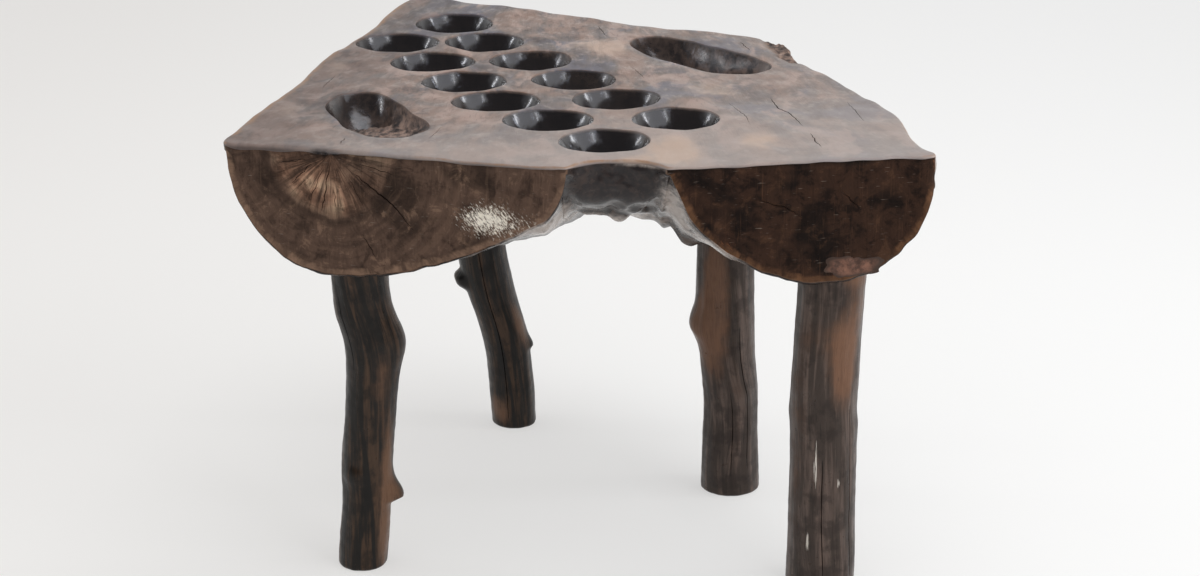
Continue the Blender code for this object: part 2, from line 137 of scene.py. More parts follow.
print("front is", round(FRONT_LENGTH * 1000), "mm along its edge")

# %% [markdown]
# ## Wood that is never quite straight
# A tool or a growing tree leaves soft waves everywhere. A sum of a dozen sine waves in seeded random
# directions makes such a field in one, two or three dimensions, the same at every run, and needs no
# texture. A smooth step and a bell shape, used all through the lesson, say where a feature begins and
# ends.

# %% Soft waves
def waves(points, wavelength, seed, count=14):
    """Sum of sine waves of about one wavelength in random directions, scaled to a spread of about one."""
    points = np.asarray(points, float)
    draw = np.random.default_rng(seed)
    direction = draw.normal(size=(count, points.shape[-1]))
    direction *= draw.uniform(0.6, 1.4, (count, 1)) / np.linalg.norm(direction, axis=1, keepdims=True)
    phase = draw.uniform(0, 2 * np.pi, count)
    turn = 2 * np.pi / wavelength * points @ direction.T + phase
    return np.sin(turn).sum(-1) * math.sqrt(2 / count)


def ease(value, low, high):
    """Smooth step: 0 below low, 1 above high, with level ends."""
    share = np.clip((value - low) / (high - low), 0, 1)
    return share * share * (3 - 2 * share)


def hump(points, centre, reach):
    """Bell shape: the exponential of minus the squared distance over the squared reach."""
    return np.exp(-(((np.asarray(points) - centre) / reach) ** 2).sum(-1))


print("one wave field at three corners:", waves(np.eye(3), 0.5, 1).round(2))

# %% [markdown]
# ## The rim, worn round at its corners
# Hands and years have rounded the corners of the plan. The outline is walked in half-millimetre steps and
# blurred along its own length with a bell curve, done as one product in the frequency domain, so corners
# turn round while straight runs stay straight. The two front corners are blurred further and then pushed
# out again, because on the real log they are round but full. The same walk gives the outward direction at
# every step.

# %% Worn rim
STEP = 0.0005
CORNER_BLUR, FRONT_BLUR = 0.0045, 0.0090
FRONT_REACH, CORNER_REACH = 0.035, 0.024
FULL_CORNERS = ((FRONT_LEFT + (0.003, 0.010), 0.0060), (FRONT_RIGHT, 0.0042))

number = np.linspace(0, 4, 16001)[:-1]
drawn = outline(number)
closed = np.vstack([drawn, drawn[:1]])
reached = np.concatenate([[0], np.cumsum(np.linalg.norm(np.diff(closed, axis=0), axis=1))])
RIM_LENGTH = reached[-1]
steps = np.arange(0, RIM_LENGTH, STEP)
even = np.stack([np.interp(steps, reached, closed[:, axis]) for axis in range(2)], -1)


def blurred(table, reach):
    """Columns of a rim table blurred by a bell curve of this reach: a product of their frequencies."""
    rate = np.fft.fftfreq(len(table), STEP)
    bell = np.exp(-2 * (np.pi * rate * reach) ** 2)
    return np.fft.ifft(np.fft.fft(table, axis=0) * bell[:, None], axis=0).real


at_front = sum(hump(even, corner, FRONT_REACH) for corner in (FRONT_LEFT, FRONT_RIGHT))[:, None]
worn = blurred(even, CORNER_BLUR) * (1 - at_front) + blurred(even, FRONT_BLUR) * at_front
heading_on = np.roll(worn, -1, 0) - np.roll(worn, 1, 0)
outward = np.stack([heading_on[:, 1], -heading_on[:, 0]], -1)
outward /= np.linalg.norm(outward, axis=1, keepdims=True)
swell = sum(size * hump(worn, corner, CORNER_REACH) for corner, size in FULL_CORNERS)
worn = worn + swell[:, None] * outward


def rim_at(distance, table):
    """Value of a rim table at distances walked along the rim."""
    columns = [np.interp(distance, steps, table[:, axis], period=RIM_LENGTH) for axis in range(2)]
    return np.stack(columns, -1)


print("rim is", round(RIM_LENGTH, 3), "m round")

# %% [markdown]
# ## Depth of the log
# The underside is the round back of the tree: each sawn end shows a half-round section, the fork has only
# a thin lip, and towards the stem the two limbs run together into one section. Quarters of superellipses
# give the sections, as on the CAD solid.

# %% Sections of the two ends
EDGE_LIP, FORK_LIP = 0.012, 0.038
LEFT_KEEL, LEFT_KEEL_INSET, LEFT_RUN = 0.145, 0.125, 0.230
SHOULDER_DROP, SHOULDER_FALL, SHOULDER_ROUND = 0.077, 1.75, 0.030
RIGHT_KEEL, RIGHT_KEEL_INSET, RIGHT_ROUND = 0.141, 0.170, 0.125
RIGHT_FULLER, RIGHT_LIP, RIGHT_STEEPNESS = 0.004, 0.003, 2.25


def quarter(share, roundness):
    """Quarter of a superellipse: 0 at share 0 and 1 from share 1 on."""
    return (1 - (1 - np.clip(share, 0, 1)) ** roundness) ** (1 / roundness)


def left_depth(inset):
    """Left end: up over the keel from the outer corner, then a slow fall to the shoulder by the fork."""
    fall = SHOULDER_DROP * np.clip((inset - LEFT_KEEL_INSET) / LEFT_RUN, 0, 1) ** SHOULDER_FALL
    by_fork = quarter((LEFT_WIDTH - inset) / SHOULDER_ROUND, 1.5)
    shoulder = EDGE_LIP + (LEFT_KEEL - fall - EDGE_LIP) * by_fork
    return np.where(inset < LEFT_KEEL_INSET, LEFT_KEEL * quarter(inset / LEFT_KEEL_INSET, 2.1), shoulder)


def right_depth(inset):
    """Right end: from the fork, no steeper than a set slope, over the keel to the outer corner."""
    slope = RIGHT_LIP + RIGHT_STEEPNESS * np.maximum(inset, 0)
    inner = np.minimum(RIGHT_KEEL * quarter(inset / RIGHT_KEEL_INSET, 1.7), slope)
    outer = RIGHT_KEEL * quarter((RIGHT_WIDTH + RIGHT_FULLER - inset) / RIGHT_ROUND, 2.2)
    return np.where(inset < RIGHT_KEEL_INSET, inner, outer)


def fork_lip(share):
    """Fork: a thin lip at both corners, smoothly deeper over the middle."""
    across = (share - FORK_START) / (FORK_END - FORK_START)
    return EDGE_LIP + (FORK_LIP - EDGE_LIP) * ease(np.minimum(across, 1 - across), 0, 0.24)


print("keels are", round(1000 * LEFT_KEEL), "and", round(1000 * RIGHT_KEEL), "mm deep")

# %% [markdown]
# ## From the ends to the stem
# Behind the front every section turns into the stem's, by an exponential of the way back. In the crotch,
# wood has grown over the corners of the fork, so that no cleft is left there: the deeper of the section
# and this web counts, softly, by a fourth power. A bulge steepens the wall of the fork.

# %% Depth
STEM_DEPTH, STEM_ROUNDNESS, STEM_REACH = 0.165, 2.4, 0.190
WEB_WIDTH, WEB_REACH = 0.035, 0.030
BULGE, BULGE_START, BULGE_END = 0.016, 0.012, 0.045


def depth(share, back, reach):
    """Front section changing into the stem's section by one minus an exponential of the way back, with a
    web behind the corners of the fork and a bulge, the difference of two exponentials, on its wall."""
    way = back * reach
    left = left_depth(share * FRONT_LENGTH)
    right = right_depth((share - FORK_END) * FRONT_LENGTH)
    front = np.where(share < FORK_START, left, np.where(share > FORK_END, right, fork_lip(share)))
    by_corner = sum(np.exp(-((share - corner) / WEB_WIDTH) ** 2) for corner in (FORK_START, FORK_END))
    web = FORK_LIP * by_corner * (1 - np.exp(-way / WEB_REACH))
    in_mouth = ease(np.minimum(share - FORK_START, FORK_END - share), -0.01, 0.02)
    bulge = BULGE * in_mouth * (np.exp(-way / BULGE_END) - np.exp(-way / BULGE_START))
    front = (front ** 4 + web ** 4) ** 0.25 + bulge
    stem = STEM_DEPTH * quarter(1 - np.abs(2 * share - 1), STEM_ROUNDNESS)
    return np.maximum(front + (stem - front) * (1 - np.exp(-way / STEM_REACH)), EDGE_LIP)


print("stem is", round(1000 * STEM_DEPTH), "mm deep")

# %% [markdown]
# ## Where the carver put the pits
# Twelve pits lie in two slightly wavering rows. Their middles are the CAD ones. No two hand-carved mouths
# are quite alike, so each radius gets two small waves round its turn, and a mouth is kept clear of its
# neighbour, because the bridges between some pits are only a few millimetres wide.

# %% Mouths of the pits
PIT_MIDDLES = np.array([
    (-0.2269, 0.1385), (-0.1783, 0.0420), (-0.1370, -0.0536), (-0.0971, -0.1452), (-0.0355, -0.2269),
    (0.0277, -0.3146), (-0.1619, 0.2438), (-0.1200, 0.1457), (-0.0615, 0.0505), (-0.0083, -0.0429),
    (0.0415, -0.1333), (0.1079, -0.2197)])
PIT_ACROSS = np.array([1.035, 1.03, 1.055, 1.08, 1.05, 1.01, 0.985, 0.99, 1.0, 1.02, 1.035, 1.0])
PIT_REACH, PIT_DEPTH, PIT_BRIDGE = 0.0512, 0.042, 0.0010
PIT_SIDES = 80
OVAL_BEARING = 210
OVAL_LEFT_ROW, OVAL_RIGHT_ROW, THREE_LOBED, MOUTH_FULLNESS = 0.010, 0.006, 0.004, 0.988
PITS = len(PIT_MIDDLES)

turn = np.linspace(0, 2 * np.pi, PIT_SIDES, endpoint=False)
gap = np.linalg.norm(PIT_MIDDLES[:, None] - PIT_MIDDLES, axis=-1) + np.eye(PITS)
pit_reach = np.minimum(PIT_REACH, gap.min(1) / 2 - PIT_BRIDGE)
sway = np.random.default_rng(7).uniform(0, 2 * np.pi, (PITS, 2))
left_row = np.arange(PITS) < PITS // 2
oval_size = np.where(left_row, OVAL_LEFT_ROW, OVAL_RIGHT_ROW)[:, None]
oval = oval_size * np.cos(2 * (turn - np.radians(OVAL_BEARING)))
pit_radius = pit_reach[:, None] * (MOUTH_FULLNESS + oval + THREE_LOBED * np.cos(3 * turn + sway[:, :1]))
pit_ways = np.stack(np.broadcast_arrays(PIT_ACROSS[:, None] * np.cos(turn), np.sin(turn)), -1)
pit_mouths = PIT_MIDDLES[:, None] + pit_radius[..., None] * pit_ways
print("pit mouths are", (2000 * pit_radius.mean(1)).round(1), "mm wide")

# %% [markdown]
# ## The two stores
# A long store lies on each side of the rows, an ellipse drawn by eye and cut by hand. Its radius is known
# at eighteen even turns as a share of the true ellipse, and a sum of waves through these shares gives the
# rest. In front each store has a shelf, which is written as its tip, its depth there, its slope, and how
# much steeper it gets beyond a knee. Its roughness is written as heights, wavelengths and seeds of waves.

# %% Mouths of the stores
STORES = (
    {"middle": (-0.2299, -0.2063), "size": (0.212, 0.102, 0.050), "bearing": -72.4,
     "reach": (0.98, 0.99, 1.03, 1.10, 0.90, 0.83, 0.87, 0.98, 1.03,
               1.00, 1.00, 1.01, 1.04, 0.95, 0.93, 0.99, 1.00, 0.99),
     "tip": (-0.198, -0.307), "shelf": (0.004, 0.15, 1.0, 0.135), "fade": 0.008,
     "rough": ((0.0008, 0.019, 22), (0.0005, 0.008, 23))},
    {"middle": (0.1450, 0.0709), "size": (0.243, 0.103, 0.053), "bearing": -51.0,
     "reach": (0.88, 0.90, 1.00, 1.02, 0.92, 0.88, 0.96, 1.01, 1.02,
               1.01, 1.00, 1.00, 0.96, 0.95, 0.98, 1.04, 0.98, 0.90),
     "tip": (0.2214, -0.0235), "shelf": (0.010, 0.22, 0.9, 0.110), "fade": 0.010,
     "rough": ((0.0005, 0.022, 24), (0.0004, 0.008, 25))},
)
STORE_SIDES = 128
store_turn = np.linspace(0, 2 * np.pi, STORE_SIDES, endpoint=False)


def store_mouth(store):
    """Ellipse turned to its bearing, its radius scaled by waves through the eighteen measured shares."""
    waves_in = np.fft.rfft(store["reach"]) / len(store["reach"])
    count = np.arange(len(waves_in))
    twice = np.where((count > 0) & (count < len(store["reach"]) / 2), 2, 1)
    radius = (twice * waves_in * np.exp(1j * store_turn[:, None] * count)).real.sum(1)
    long_half = heading(store["bearing"]) * store["size"][0] / 2
    short_half = heading(store["bearing"] + 90) * store["size"][1] / 2
    ways = np.cos(store_turn)[:, None] * long_half + np.sin(store_turn)[:, None] * short_half
    return np.array(store["middle"]) + radius[:, None] * ways


store_mouths = [store_mouth(store) for store in STORES]
store_spans = [round(1000 * float(np.ptp(mouth[:, 1]))) for mouth in store_mouths]
print("stores are", store_spans, "mm from front to back")

# %% [markdown]
# ## Points round the slab's edge
# The walls need columns of points along the rim. They are closer together near the corners, where the
# half round section turns steep. Each column knows its running number, its share of the front and its way
# back.

# %% Columns along the rim
LEFT_COLUMNS, FORK_COLUMNS, RIGHT_COLUMNS, SIDE_ROWS = 110, 36, 86, 100
ROW_CROWDING = 1.35
NEARLY_ONE = 1 - 1e-9


def crowded(count):
    """Even shares from 0 to 1 mixed with cosine ones, so that they crowd towards both ends."""
    share = np.linspace(0, 1, count + 1)
    return 0.35 * share + 0.65 * (1 - np.cos(np.pi * share)) / 2


columns = np.concatenate([
    crowded(LEFT_COLUMNS) * FORK_START,
    FORK_START + np.linspace(0, 1, FORK_COLUMNS + 1)[1:-1] * (FORK_END - FORK_START),
    FORK_END + crowded(RIGHT_COLUMNS) * (1 - FORK_END)])
rows = np.linspace(0, 1, SIDE_ROWS + 1) ** ROW_CROWDING
ACROSS, DEEP = len(columns) - 1, len(rows) - 1
loop_number = np.concatenate([
    columns, 1 + rows[1:], 2 + (1 - columns[::-1])[1:], 3 + (1 - rows[::-1])[1:-1]])
loop_share = np.concatenate([columns, np.ones(DEEP), columns[::-1][1:], np.zeros(DEEP - 1)])
loop_back = np.concatenate([np.zeros(ACROSS + 1), rows[1:], np.ones(ACROSS), rows[::-1][1:-1]])
walked = np.interp(loop_number, number, reached[:-1])
front_points = outline(columns.clip(0, NEARLY_ONE))
stem_points = outline(2 + (1 - columns).clip(0, NEARLY_ONE))
lengths = np.linalg.norm(front_points - stem_points, axis=1)
loop_height = depth(loop_share, loop_back, np.interp(loop_share, columns, lengths))
print("columns round the rim:", len(walked))

# %% [markdown]
# ## How round each edge is
# The worn arris along the top is a quarter round whose size changes: broad on the front left where knees
# and hands have rubbed, fine at the right end, and never so broad that it reaches a pit, eats the lip of
# the slab or folds over in an inner bend. The heel is the quarter round below, and in the fork it is a
# long slope.

# %% Arris and heel
ROUNDED_MM = (
    (0, 4), (0.02, 6), (0.10, 5.5), (0.20, 4.2), (0.45, 3.5), (0.50, 4.5), (0.61, 4.5), (0.64, 3),
    (0.97, 2.8), (1.0, 6), (1.2, 4), (2, 4), (3, 6), (3.9, 5), (3.97, 3), (4, 4))
LEAST_ARRIS, ARRIS_BLUR, BEND_STEPS = 0.002, 0.003, 20
LIP_SHARE, MOUTH_SHARE, BEND_SHARE = 0.42, 0.55, 0.55
HEEL_ROUND, FORK_HEEL, FORK_SLOPE = 0.0035, 0.0265, math.radians(57)


def half_turn(angle):
    """Angle brought between minus half a turn and half a turn."""
    return np.angle(np.exp(1j * angle))


step_number = np.interp(steps, reached[:-1], number)
rounding = np.interp(step_number, *np.transpose(ROUNDED_MM)) / 1000
rounding = rounding * (1 + 0.07 * waves(steps[:, None], 0.060, 3))
mouths = np.vstack([pit_mouths.reshape(-1, 2), *store_mouths])
to_mouth = np.concatenate([np.linalg.norm(part[:, None] - mouths, axis=-1).min(1)
                           for part in np.array_split(worn, 20)])
facing = np.arctan2(heading_on[:, 1], heading_on[:, 0])
bend = half_turn(facing - np.roll(facing, 1)) * 2 / np.linalg.norm(heading_on, axis=1)
bend = np.max([np.roll(bend, shift) for shift in range(-BEND_STEPS, BEND_STEPS + 1)], 0).clip(1)
step_height = np.interp(steps, walked, loop_height, period=RIM_LENGTH)
limits = [rounding.clip(LEAST_ARRIS), LIP_SHARE * step_height, MOUTH_SHARE * to_mouth, BEND_SHARE / bend]
step_arris = blurred(np.min(limits, 0)[:, None], ARRIS_BLUR)[:, 0]
arris = np.interp(walked, steps, step_arris, period=RIM_LENGTH)
in_fork = (ease(loop_number, FORK_START - 0.01, FORK_START + 0.03) * (loop_number < 1)
           * ease(-loop_number, -FORK_END - 0.01, -FORK_END + 0.03))
heel = np.minimum(HEEL_ROUND + FORK_HEEL * in_fork, (0.25 + 0.55 * in_fork) * loop_height)
heel_turn = np.pi / 2 - in_fork * FORK_SLOPE
print("arris radius", (1000 * arris.min()).round(1), "to", (1000 * arris.max()).round(1), "mm")

# %% [markdown]
# ## Drying checks
# Wood that dries too fast splits. On a flat face such a check is a thin lens along a slightly wavering
# path, with its middle line pushed in, so it is a real groove and takes its own shadow.

# %% Checks
CHECK_STEP, CHECK_WAVER = 0.004, 0.0007


def check(path, width, sink, seed):
    """Lens round a path: both tips, then left side, right side and middle, which is sunk by a half sine."""
    path = np.asarray(path, float)
    run = np.concatenate([[0], np.cumsum(np.linalg.norm(np.diff(path, axis=0), axis=1))])
    count = max(4, round(run[-1] / CHECK_STEP))
    share = np.linspace(0, 1, count + 1)
    line = np.stack([np.interp(share * run[-1], run, path[:, axis]) for axis in range(2)], -1)
    along = np.gradient(line, axis=0)
    across = np.stack([-along[:, 1], along[:, 0]], -1) / np.linalg.norm(along, axis=1, keepdims=True)
    swell = np.sin(np.pi * share)[:, None] ** 0.7
    line = line + across * swell * CHECK_WAVER * np.random.default_rng(seed).normal(size=(count + 1, 1))
    inner = slice(1, -1)
    half = across * swell * width / 2
    points = np.vstack([line[[0, -1]], (line + half)[inner], (line - half)[inner], line[inner]])
    size = count - 1
    chains = [np.concatenate([[0], 2 + start * size + np.arange(size), [1]]) for start in range(3)]
    edges = np.vstack([np.stack([chain[:-1], chain[1:]], -1) for chain in chains])
    depths = np.concatenate([np.zeros(2 + 2 * size), sink * swell[inner, 0]])
    return points, edges, depths


def checks_in_mm(paths, start, first_seed):
    """Checks whose paths, widths and depths are written in millimetres from a start in metres."""
    return [check(np.array(path) / 1000 + start, width / 1000, sink / 1000, first_seed + count)
            for count, (path, width, sink) in enumerate(paths)]


print("points in a check of 100 mm:", len(check([(0, 0), (0.1, 0)], 0.002, 0.004, 0)[0]))

# %% [markdown]
# ## Flat sheets with holes
# A sawn face is flat but not plain: it has holes and checks. A regular grid would cut across their edges,
# so the sheet is a triangulation of an even scatter of points that keeps the rim, the mouths and the
# sides of each check as edges. Curved patches are plain grids.

# %% Sheets and grids
def inside(points, ring):
    """Even-odd rule: a point is inside where a ray to the right crosses the ring an odd number of times."""
    start, end = ring, np.roll(ring, -1, 0)
    x, y = points[:, 0, None], points[:, 1, None]
    spans = (start[:, 1] > y) != (end[:, 1] > y)
    rise = np.where(end[:, 1] == start[:, 1], 1, end[:, 1] - start[:, 1])
    crossing = start[:, 0] + (y - start[:, 1]) / rise * (end[:, 0] - start[:, 0])
    return (spans & (x < crossing)).sum(1) % 2 == 1


def lattice_in(rim, holes, fixed, spacing):
    """Points of a triangular lattice inside the rim, outside the holes and not too near the fixed points."""
    low, high = rim.min(0), rim.max(0)
    x, y = np.meshgrid(np.arange(low[0], high[0], spacing), np.arange(low[1], high[1], spacing * 0.87))
    x = x + spacing / 2 * (np.arange(len(x)) % 2)[:, None]
    lattice = np.stack([x.ravel(), y.ravel()], -1)
    lattice = lattice[inside(lattice, rim)]
    for hole in holes:
        lattice = lattice[~inside(lattice, hole)]
    near = [np.linalg.norm(part[:, None] - fixed, axis=-1).min(1) for part in np.array_split(lattice, 40)]
    return lattice[np.concatenate(near) > 0.55 * spacing]


def sheet_of(rim, holes, checks, spacing):
    """Triangles between the rim and the holes over a triangular lattice, and how deep each point is sunk."""
    chains = []
    for ring in (rim, *holes):
        count = np.arange(len(ring))
        chains.append((ring, np.stack([count, np.roll(count, -1)], -1), np.zeros(len(ring))))
    chains += checks
    starts = np.cumsum([0] + [len(spots) for spots, *_ in chains])
    fixed = np.vstack([spots for spots, *_ in chains])
    edges = np.vstack([links + start for (_, links, _), start in zip(chains, starts)])
    everything = np.vstack([fixed, lattice_in(rim, holes, fixed, spacing)])
    made = delaunay_2d_cdt(everything.tolist(), edges.tolist(), [], 1, 1e-7)
    assert len(made[0]) == len(everything), "a check meets another edge"
    triangles = np.array(made[2])
    for hole in holes:
        triangles = triangles[~inside(everything[triangles].mean(1), hole)]
    depths = np.zeros(len(everything))
    depths[:len(fixed)] = np.concatenate([sunk for *_, sunk in chains])
    return everything, triangles, depths


def grid_triangles(rows, columns, closed=False):
    """Two triangles for each cell of a grid of points, whose columns may join up into rings."""
    cells = columns if closed else columns - 1
    row, column = np.meshgrid(np.arange(rows - 1), np.arange(cells), indexing="ij")
    beside = (column + 1) % columns
    a, b = row * columns + column, row * columns + beside
    c, d = (row + 1) * columns + beside, (row + 1) * columns + column
    return np.concatenate([np.stack([a, b, c], -1), np.stack([a, c, d], -1)]).reshape(-1, 3)


print("triangles in a grid of 3 by 4 points:", len(grid_triangles(3, 4)))

# %% [markdown]
# ## Building the slab from patches
# The slab is a patchwork: a triangulated top, bowls, walls round the rim and a curved underside. Every
# patch is an array of points with two extra numbers, how far each lies down a hollow and how worn it is,
# and a finish for its triangles. Neighbouring patches repeat the points of their common edge and are
# welded at the end, which leaves one closed skin.

# %% Patches
FINISH_TOP, FINISH_LEFT, FINISH_RIGHT, FINISH_STEM, FINISH_LOG = range(5)
patches = []


def patch(points, triangles, finish, hollow=0.0, wear=0.0):
    """Keeps a patch: points, triangles, finish number, and the hollow and wear values of its points."""
    flat = points.reshape(-1, 3)
    values = [np.broadcast_to(value, points.shape[:-1]).ravel() for value in (hollow, wear)]
    patches.append((flat, triangles, np.full(len(triangles), finish), np.stack(values, -1)))


print("finishes on the slab:", FINISH_LOG + 1)

# %% [markdown]
# ## Scooping the hollows
# A pit is an open scoop: the cap of a ball a little wider than the mouth, under a lip that fingers have
# rolled over. Gouge facets of under a millimetre break its reflections. In a store the bowl and the rough
# shelf are both worked out, and a soft minimum keeps the higher of the two.

# %% Bowls
SCOOP = 1.06
PIT_LIP, LIP_ROWS = 0.0010, 5
PIT_RINGS, STORE_RINGS = 16, 30
BRINK = 0.006
PIT_FACET, STORE_FACET = 0.0007, 0.0003


def lumps_of(sizes, *places):
    """Sum of soft waves, each with its height, wavelength and seed, over its own set of places."""
    return sum(size * waves(place, length, seed) for (size, length, seed), place in zip(sizes, places))


def gouged(plan, down, facet):
    """Shallow facets left by the gouge: soft waves of under a millimetre."""
    return down - facet * waves(plan, 0.024, 21) * ease(down, 0.004, 0.030)


def shelved(plan, down, store):
    """The higher of a bowl and a rough shelf that climbs from the back of the store to its front tip."""
    start, slope, steeper, knee = store["shelf"]
    from_tip = (np.array(store["tip"]) - plan) @ heading(store["bearing"])
    shelf = start + slope * from_tip + steeper * np.maximum(from_tip - knee, 0)
    shelf = shelf + lumps_of(store["rough"], plan, plan)
    higher = -BRINK * np.logaddexp(-down / BRINK, -shelf / BRINK)
    return gouged(plan, down + (higher - down) * ease(down, 0.001, store["fade"]), STORE_FACET)


def bowl(mouth, middle, deep, rings, store=None):
    """From a lip rolled over by a quarter circle down the cap of a ball SCOOP times as wide."""
    roll = np.linspace(0, np.pi / 2, LIP_ROWS)
    ways = mouth - middle
    width = np.linalg.norm(ways, axis=-1, keepdims=True)
    lip_in = 1 - PIT_LIP * np.sin(roll)[:, None, None] / width
    lip_down = np.repeat(PIT_LIP * (1 - np.cos(roll))[:, None], len(mouth), 1)
    share = np.cos(np.linspace(0, np.pi / 2, rings + 1)[1:]).clip(0)
    rim_rise = math.sqrt(SCOOP ** 2 - 1)
    fall = (np.sqrt(SCOOP ** 2 - share ** 2) - rim_rise) / (SCOOP - rim_rise)
    bowl_in = (1 - PIT_LIP / width) * share[:, None, None]
    bowl_down = np.repeat((PIT_LIP + (deep - PIT_LIP) * fall)[:, None], len(mouth), 1)
    plan = middle + np.concatenate([lip_in, bowl_in]) * ways
    down = np.concatenate([lip_down, bowl_down])
    down = shelved(plan, down, store) if store else gouged(plan, down, PIT_FACET)
    points = np.concatenate([plan, (TOP - down)[..., None]], -1)
    wear = np.concatenate([np.linspace(0.2, 0.6, LIP_ROWS), np.zeros(rings)])[:, None]
    patch(points, grid_triangles(len(plan), len(mouth), True), FINISH_TOP, ease(down, 0.0003, 0.0030), wear)


for middle, mouth in zip(PIT_MIDDLES, pit_mouths):
    bowl(mouth, middle, PIT_DEPTH, PIT_RINGS)
for store, mouth in zip(STORES, store_mouths):
    bowl(mouth, np.array(store["middle"]), store["size"][2], STORE_RINGS, store)
print("hollows:", len(patches))

# %% [markdown]
# ## The rolled edge and the walls
# Going down from the top there is a quarter round, then the wall, then a small quarter round into the
# underside. Each is a profile carried along the rim. How much the edge was handled changes along it too,
# and the whole left edge is rubbed to tan wood.

# %% Rolled edges
ROLL = np.linspace(0, np.pi / 2, 6)
HEEL = np.linspace(0, 1, 7)
WALL_ROWS = 9
SAWN_LUMPS, LOG_LUMPS, FORK_LUMPS = 0.0003, 0.0003, 0.0006
WALL_WAVES = ((1, 0.030, 31), (0.4, 0.013, 32))
HANDLED = ((0, 0.3), (0.1, 0.3), (0.45, 0.8), (0.5, 0.9), (0.61, 0.9), (0.65, 0.4), (0.95, 0.4), (1.05, 0.9),
           (2, 0.7), (3, 0.7), (3.05, 1), (4, 1))
LEFT_RUB = 0.9

log_side = ((loop_number > 1) & (loop_number < 2)) | (loop_number > 3)
lumpy = SAWN_LUMPS + LOG_LUMPS * log_side + FORK_LUMPS * in_fork


def wall_point(distance, inset, down, height):
    """Rim point moved in by the inset and down, with outward lumps of this height that fade near the top."""
    rim, out = rim_at(distance, worn), rim_at(distance, outward)
    spot = np.stack([distance, down], -1)
    lumps = height * lumps_of(WALL_WAVES, spot, spot) * ease(down, 0.002, 0.012)
    plan = rim + out * (lumps - inset)[..., None]
    return np.concatenate([plan, (TOP - down)[..., None]], -1)


roll_in = arris * (1 - np.sin(ROLL))[:, None]
roll_down = arris * (1 - np.cos(ROLL))[:, None]
rolled = wall_point(np.broadcast_to(walked, roll_in.shape), roll_in, roll_down, lumpy)
handled = np.interp(loop_number, *np.transpose(HANDLED))
on_left = ease(loop_number, 3.02, 3.10) * ease(-loop_number, -3.99, -3.95)
rubbed = np.maximum(np.sin(2 * ROLL.clip(0.12))[:, None] * handled, LEFT_RUB * on_left)
patch(rolled, grid_triangles(len(ROLL), len(walked), True), FINISH_TOP, 0, rubbed)

heel_in = heel * (1 - np.cos(HEEL[:, None] * heel_turn))
heel_down = loop_height - heel * (np.sin(heel_turn) - np.sin(HEEL[:, None] * heel_turn))
heel_lumps = lumpy * (1 - HEEL[:, None] * log_side)
heeled = wall_point(np.broadcast_to(walked, heel_in.shape), heel_in, heel_down, heel_lumps)
down_wall = np.linspace(0, 1, WALL_ROWS)[:, None]
wall_down = roll_down[-1] * (1 - down_wall) + heel_down[0] * down_wall
walls = wall_point(np.broadcast_to(walked, wall_down.shape), 0 * wall_down, wall_down, lumpy)
print("lowest point of the walls:", round(1000 * walls[..., 2].min()), "mm above the floor")

# %% [markdown]
# ## The sawn ends
# The pith shows on the left end, close under the top, and drying has opened checks that run out from it
# like spokes. Their places are written as distance along the end and depth below the top, in millimetres.
# The wall of a sawn end is a sheet unrolled along the rim, so that these cracks can open in it. The bark
# side of each end keeps a rim of sapwood, marked as worn.

# %% Sawn ends
LEFT_CHECKS = (
    (((120.5, 12), (115.1, 35), (107, 73)), 1.5, 5), (((122, 41.3), (125.3, 77.2)), 1.0, 3),
    (((141.8, 22.9), (166.4, 40.1), (189.9, 58.5), (203.2, 73.2), (214.3, 88.2)), 1.7, 6),
    (((152.6, 90.9), (169, 121.4)), 1.0, 3), (((100, 16), (82, 33), (72, 44)), 1.0, 3),
    (((112, 20), (98, 52), (93, 68)), 0.9, 2.5), (((139, 30), (152, 52), (158, 66)), 0.9, 2.5),
    (((150, 14), (178, 20), (196, 25)), 0.9, 2.5), (((95, 12), (70, 17), (56, 21)), 0.9, 2.5),
)
RIGHT_CHECKS = ((((95, 40), (130, 52), (150, 64)), 1.0, 3), (((190, 35), (214, 58)), 0.9, 2.5))
STEM_CHECKS = ((((250, 20), (262, 60), (258, 98)), 1.6, 5), (((300, 24), (345, 66)), 1.3, 4),
               (((215, 24), (170, 60)), 1.2, 4))
SAPWOOD = 0.0120
END_SPACING = 0.0055


def sawn_end(first, last, finish, checks):
    """Sheet over one stretch of wall, unrolled to distance along the rim and depth, checks sunk inward."""
    span = np.arange(first, last + 1)
    left, right = wall_down[1:-1, first], wall_down[1:-1, last]
    upper, lower = (np.stack([walked[span], wall_down[row, span]], -1) for row in (0, -1))
    rim = np.concatenate([
        upper, np.stack([np.full(len(right), walked[last]), right], -1),
        lower[::-1], np.stack([np.full(len(left), walked[first]), left], -1)[::-1]])
    grooves = checks_in_mm(checks, (walked[first], 0), 0)
    flat, triangles, sunk = sheet_of(rim, [], grooves, END_SPACING)
    points = wall_point(flat[:, 0], sunk, flat[:, 1], np.interp(flat[:, 0], walked[span], lumpy[span]))
    to_bark = np.linalg.norm(flat[:, None] - lower, axis=-1).min(1)
    patch(points, triangles, finish, ease(sunk, 0, 0.003), np.exp(-(to_bark / SAPWOOD) ** 4))
    return len(triangles)


